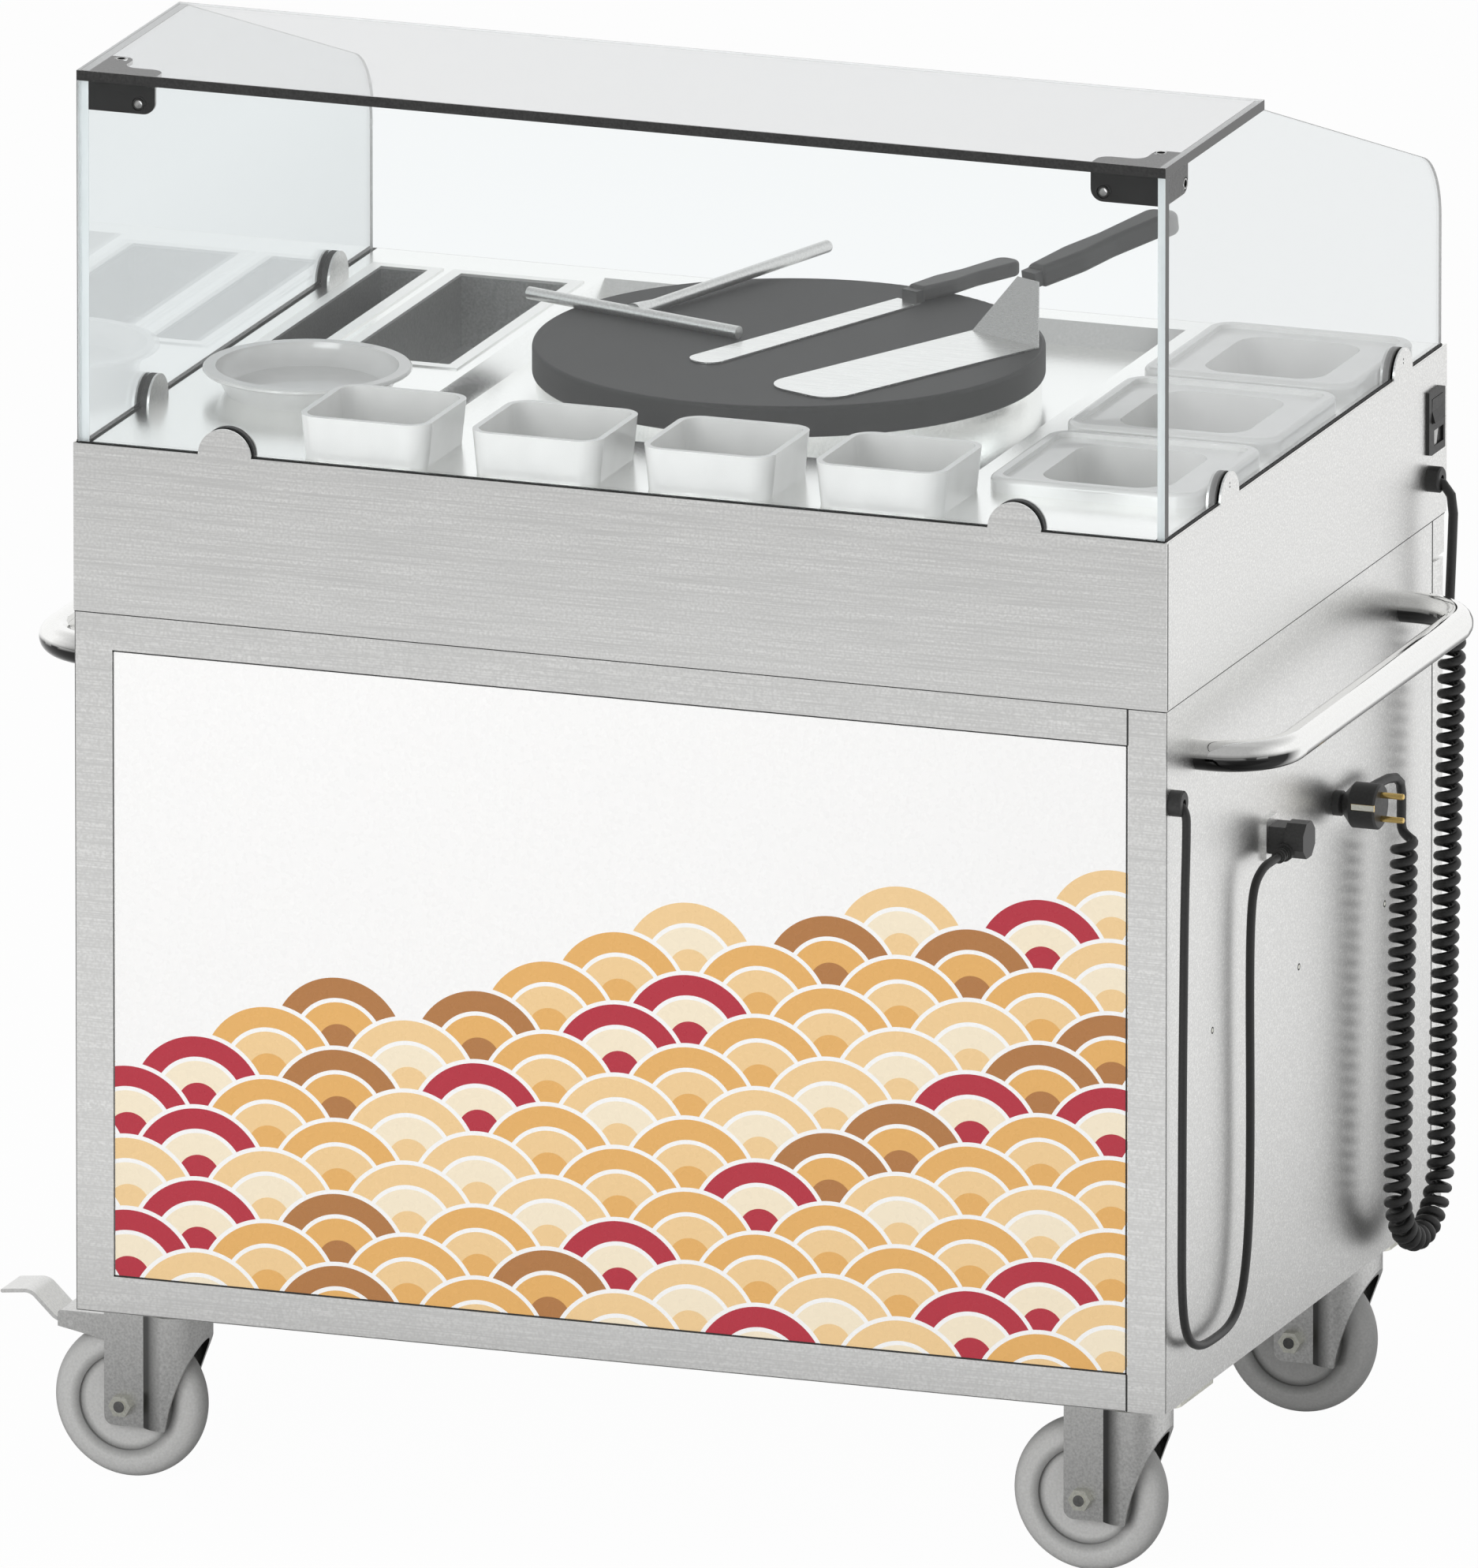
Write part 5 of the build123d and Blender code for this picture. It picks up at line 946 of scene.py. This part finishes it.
# %% Seams and joint lines
SEAM = 0.07
FAINT, DEEP = range(2)
SIDE_X, SIDE_PROUD, FRAME_Y, PANEL_Y = 449.4, 449.42, -324.4, -322.9
OPEN_X0, OPEN_X1, OPEN_Z0, OPEN_Z1 = -418.4, 417.6, 182.5, 686.5
BASE_Z, DECK_Z = 153.0, 716.0
SIDE_Z0, SIDE_Z1, GAP_Z0, GAP_Z1 = 154.0, 715.0, 715.1, 715.95
STILE_X0, STILE_X1 = 417.1, 418.7
SIDE_LINES = (
    ((449.9, -323.4, 716.5), (449.95 + SEAM, -321.0, 849.5), FAINT),
    ((SIDE_PROUD, -323.2, SIDE_Z0), (SIDE_X + SEAM, -321.8, SIDE_Z1), FAINT),
    ((SIDE_PROUD, -324.0, GAP_Z0), (449.85, 321.0, GAP_Z1), DEEP),
    ((SIDE_PROUD, 292.8, SIDE_Z0), (SIDE_X + SEAM, 294.9, SIDE_Z1), DEEP))
FRONT_LINES = (
    (FRAME_Y - 0.3, -SIDE_X, SIDE_X, GAP_Z0, GAP_Z1, DEEP),
    (FRAME_Y, STILE_X0, STILE_X1, OPEN_Z1, DECK_Z - 1.0, DEEP),
    (FRAME_Y, STILE_X0, STILE_X1, BASE_Z + 0.2, OPEN_Z0, DEEP),
    (PANEL_Y, OPEN_X0, OPEN_X1, OPEN_Z1 - 1.5, OPEN_Z1, DEEP),
    (PANEL_Y, OPEN_X0, OPEN_X1, OPEN_Z0, OPEN_Z0 + 1.1, DEEP),
    (PANEL_Y, OPEN_X0, OPEN_X0 + 0.8, OPEN_Z0, OPEN_Z1, FAINT),
    (PANEL_Y, OPEN_X1 - 1.4, OPEN_X1, OPEN_Z0, OPEN_Z1, DEEP),
    (FRAME_Y, -449.3, 417.0, BASE_Z + 0.1, BASE_Z + 0.8, FAINT),
    (FRAME_Y, -SIDE_X, -448.8, BASE_Z + 0.8, DECK_Z - 1.0, FAINT))

bm = bmesh.new()
for side in (-1, 1):
    for low, high, tone in SIDE_LINES:
        add_bar(bm, (side * low[0], *low[1:]), (side * high[0], *high[1:]), index=tone)
for plane, x0, x1, z0, z1, tone in FRONT_LINES:
    add_bar(bm, (x0, plane - SEAM, z0), (x1, plane - HAIR, z1), index=tone)
seam_shadow = finish("seam_shadow", grey(0.1), grey(0.16), FINE, (0.5, 0.6))
gap_shadow = finish("gap_shadow", grey(0.02), grey(0.04), FINE, (0.6, 0.7))
piece_from(bm, "corner_seams", [seam_shadow, gap_shadow], "cart")
print("seams done")

# %% [markdown]
# Small fasteners: the shelf's screws in both side panels, two rivet pins in each side tab, bright sleeves in
# the hood's bushes with a black lining in the top bores, which is painted shade, and the dark ends of the
# caster axles. Turned profiles make them all.

# %% Screws, pins and sleeves
SHELF_Z, SHELF_SCREW_YS = 434.0, (-216.0, -16.0, 184.0)
TAB_X, TAB_YS, PIN_ZS = 450.0, (-180.0, 223.0), (863.0, 860.0)
AXLE_OUT, AXLE_IN = 273.9, 212.9
SCREW_SIDES, PIN_SIDES, BUSH_SIDES = 20, 12, 32
SCREW = [(2.9, 0.0), (2.8, 0.1), (1.7, 0.1), (1.5, 0.3), (0.9, 0.4), (0.0, 0.42)]
PIN = [(0.9, 0.0), (0.8, 0.05), (0.0, 0.06)]
SLEEVE = [(4.6, 0.1), (4.62, 7.6), (4.5, 7.95)]
BORE = [(3.15, 7.9), (3.1, 2.0), (0.0, 1.9)]
AXLE_END = [(4.6, 0.0), (4.5, 0.05), (1.0, 0.08), (0.0, 0.08)]

bm = bmesh.new()
for side in (-1, 1):
    for y in SHELF_SCREW_YS:
        add_turned(bm, (side * SIDE_X, y, SHELF_Z), (side, 0, 0), SCREW, SCREW_SIDES, [0, 0, 1, 1, 1])
    for y in TAB_YS:
        for z in PIN_ZS:
            add_turned(bm, (side * TAB_X, y, z), (side, 0, 0), PIN, PIN_SIDES)
piece_from(bm, "fasteners", [pad_rubber, zinc], "cart")

bm = bmesh.new()
for side in (-1, 1):
    top_bush = ((side * BUSH_X, BUSH_Y, HOOD_Z0), (0, 0, 1))
    front_bush = ((side * BUSH_FRONT_X, GLASS_INNER, BUSH_Z), (0, -1, 0))
    side_bush = ((side * SIDE_INNER, BUSH_Y, BUSH_Z), (side, 0, 0))
    for origin, axis in (front_bush, side_bush, top_bush):
        add_turned(bm, origin, axis, SLEEVE, BUSH_SIDES)
    # Black lining in each top bore: painted shade in the hole.
    add_turned(bm, *top_bush, BORE, BUSH_SIDES, [1, 1])
piece_from(bm, "bush_sleeves", [polished, pad_rubber], "cart")

for place in PLACES:
    end, hand = place.split("_")
    depth = -1 if end == "front" else 1
    bm = bmesh.new()
    add_turned(bm, (AXLE_XS[hand], depth * AXLE_OUT, AXLE_Z), (0, depth, 0), AXLE_END)
    add_turned(bm, (AXLE_XS[hand], depth * AXLE_IN, AXLE_Z), (0, -depth, 0), AXLE_END)
    piece_from(bm, "axle_ends_" + place, [edge_dark], "swivel_" + place)
print("fasteners done")

# %% [markdown]
# The switch has a pale lamp lens in its recess, and the plug's earth clip is tinned rather than brass.

# %% Lamp lens and earth clip
LENS_XS = (450.5, 451.3)
LENS_SHAPE = [(292.0, 777.2), (297.0, 777.2), (301.3, 788.8), (292.0, 789.2)]
CLIP_LOW, CLIP_HIGH, CLIP_SOFT = (468.6, 50.3, 545.2), (487.3, 50.45, 549.8), 0.05

bm = bmesh.new()
back, front = ([bm.verts.new(Vector((x, y, z)) * MM) for y, z in LENS_SHAPE] for x in LENS_XS)
bm.faces.new(back)
bm.faces.new(front)
for i in range(len(LENS_SHAPE)):
    j = (i + 1) % len(LENS_SHAPE)
    bm.faces.new([back[i], back[j], front[j], front[i]])
lens_plastic = finish("lens_plastic", grey(0.52), grey(0.7), (200, 200, 200), (0.15, 0.25), bump=0.05)
piece_from(bm, "lamp_lens", [lens_plastic], "cart")

bm = bmesh.new()
add_bar(bm, CLIP_LOW, CLIP_HIGH, CLIP_SOFT)
piece_from(bm, "earth_clip", [zinc], "cart")
print("lens and clip done")


# %% [markdown]
# ## Studio
# For the camera and for glass both floor and sky are white. For mirror rays the floor falls off towards the
# front and beside the cart, as in a real studio where the room behind the camera is darker, and that gives
# steel its tone and chrome its dark edges. The floor keeps part of its own shading, so the cart still casts a
# shadow, and it is clear from below, so the underside can be looked at. Each pair of numbers says between
# which places, in metres, a tone changes.

# %% Floor
FLOOR_HALF, FLOOR_GREY, FLOOR_ROUGH, FLOOR_SHARE = 30.0, 0.85, 0.9, 0.97
FRONT_TONE, FAR_TONE, BESIDE_TONE, CORNER_TONE = 0.98, 0.35, 0.3, 0.5
FRONT_YS, FAR_YS, NEAR_YS, BESIDE_XS = (-0.9, 0.2), (-5.0, -2.4), (-0.9, -0.55), (0.55, 0.95)
CORNER_X, CORNER_Y, CORNER_EDGE = 1.1, -0.9, (0.4, 0.55)


def stage_plane(name, half, material):
    mesh = bpy.data.meshes.new(name)
    corners = [(-half, -half, 0), (half, -half, 0), (half, half, 0), (-half, half, 0)]
    mesh.from_pydata(corners, [], [(0, 1, 2, 3)])
    mesh.materials.append(material)
    plane = bpy.data.objects.new(name, mesh)
    bpy.context.scene.collection.objects.link(plane)


floor_paint = bpy.data.materials.new("floor")
floor_paint.use_nodes = True
tree = floor_paint.node_tree
shader = tree.nodes["Principled BSDF"]
shader.inputs["Base Color"].default_value = (FLOOR_GREY, FLOOR_GREY, FLOOR_GREY, 1)
shader.inputs["Roughness"].default_value = FLOOR_ROUGH
place = axes(tree, "Position", "ShaderNodeNewGeometry")
front = ranged(tree, place["Y"], *FRONT_YS, FRONT_TONE, 1.0)
far = ranged(tree, place["Y"], *FAR_YS, FAR_TONE / FRONT_TONE, 1.0)
beside = ranged(tree, maths(tree, "ABSOLUTE", place["X"]), *BESIDE_XS, BESIDE_TONE, 1.0)
near = ranged(tree, place["Y"], *NEAR_YS, 1.0, 0.0)
beside = maths(tree, "MAXIMUM", beside, near)
offsets = [maths(tree, "SUBTRACT", place["X"], CORNER_X), maths(tree, "SUBTRACT", place["Y"], CORNER_Y)]
spans = [ranged(tree, maths(tree, "ABSOLUTE", value), *CORNER_EDGE, 1.0, 0.0) for value in offsets]
corner = ranged(tree, maths(tree, "MULTIPLY", *spans), 0.0, 1.0, 1.0, CORNER_TONE)
mirror_tone = chained(tree, "MULTIPLY", front, far, beside, corner)
path = tree.nodes.new("ShaderNodeLightPath").outputs
plain = maths(tree, "SUBTRACT", 1.0, path["Is Glossy Ray"])
plain = maths(tree, "MAXIMUM", plain, path["Is Transmission Ray"])
glow = tree.nodes.new("ShaderNodeEmission")
tree.links.new(maths(tree, "MAXIMUM", plain, mirror_tone), glow.inputs["Strength"])
rays = [path[kind] for kind in ("Is Camera Ray", "Is Glossy Ray", "Is Transmission Ray")]
share = maths(tree, "MULTIPLY", chained(tree, "MAXIMUM", *rays), FLOOR_SHARE)
lit = blended(tree, share, shader.outputs["BSDF"], glow.outputs["Emission"])
clear = tree.nodes.new("ShaderNodeBsdfTransparent")
behind = tree.nodes.new("ShaderNodeNewGeometry").outputs["Backfacing"]
surface = blended(tree, behind, lit, clear.outputs["BSDF"])
tree.links.new(surface, tree.nodes["Material Output"].inputs["Surface"])
stage_plane("floor", FLOOR_HALF, floor_paint)
print("floor done")

# %% [markdown]
# The sky gives even, soft light. Mirror rays see it darker towards the front and overhead, and a trace
# brighter on the left, as beside a window.

# %% Sky
SKY_STRENGTH, WINDOW_TONE, UPPER_TONE = 0.46, 1.04, 0.55
SKY_YS, WINDOW_XS, UPPER_ZS = (-0.8, 0.1), (-0.6, 0.2), (0.5, 0.9)

world = bpy.data.worlds.new("studio")
bpy.context.scene.world = world
world.use_nodes = True
tree = world.node_tree
path = tree.nodes.new("ShaderNodeLightPath").outputs
towards = axes(tree, "Generated")
front = ranged(tree, towards["Y"], *SKY_YS, FAR_TONE, 1.0)
window = ranged(tree, towards["X"], *WINDOW_XS, WINDOW_TONE, 1.0)
upper = ranged(tree, towards["Z"], *UPPER_ZS, 1.0, UPPER_TONE)
mirror = chained(tree, "MULTIPLY", front, window, upper, path["Is Glossy Ray"])
seen = maths(tree, "MAXIMUM", path["Is Camera Ray"], path["Is Transmission Ray"])
strength = chained(tree, "MAXIMUM", seen, mirror, SKY_STRENGTH)
background = tree.nodes["Background"]
tree.links.new(strength, background.inputs["Strength"])
background.inputs["Color"].default_value = (1.0, 1.0, 1.0, 1)
print("sky done")


# %% [markdown]
# A large soft key stands in front, a little to the left, and a weak fill on the right. Mirror rays don't see
# them, so no lamp shows as a square in the steel.

# %% Lamps
KEY_PLACE, KEY_AIM, KEY_SIZE, KEY_POWER = (-0.6, -4.2, 1.4), (0, 0, 0.6), 2.4, 100
FILL_PLACE, FILL_AIM, FILL_SIZE, FILL_POWER = (3.4, 1.2, 1.0), (0.4, 0, 0.4), 2.0, 18


def area_lamp(name, place, aim, size, power):
    lamp = bpy.data.lights.new(name, "AREA")
    lamp.shape = "SQUARE"
    lamp.size = size
    lamp.energy = power
    holder = bpy.data.objects.new(name, lamp)
    holder.location = place
    holder.rotation_euler = (Vector(place) - Vector(aim)).to_track_quat("Z", "Y").to_euler()
    holder.visible_glossy = False
    bpy.context.scene.collection.objects.link(holder)


area_lamp("key", KEY_PLACE, KEY_AIM, KEY_SIZE, KEY_POWER)
area_lamp("fill", FILL_PLACE, FILL_AIM, FILL_SIZE, FILL_POWER)
print("studio done")

# %% [markdown]
# ## Last update
# The dressed cart is brought up to date in the view layer. The dressed cart has to stay inside the
# box of the imported solids.

# %% Update the dressed cart
bpy.context.view_layer.update()
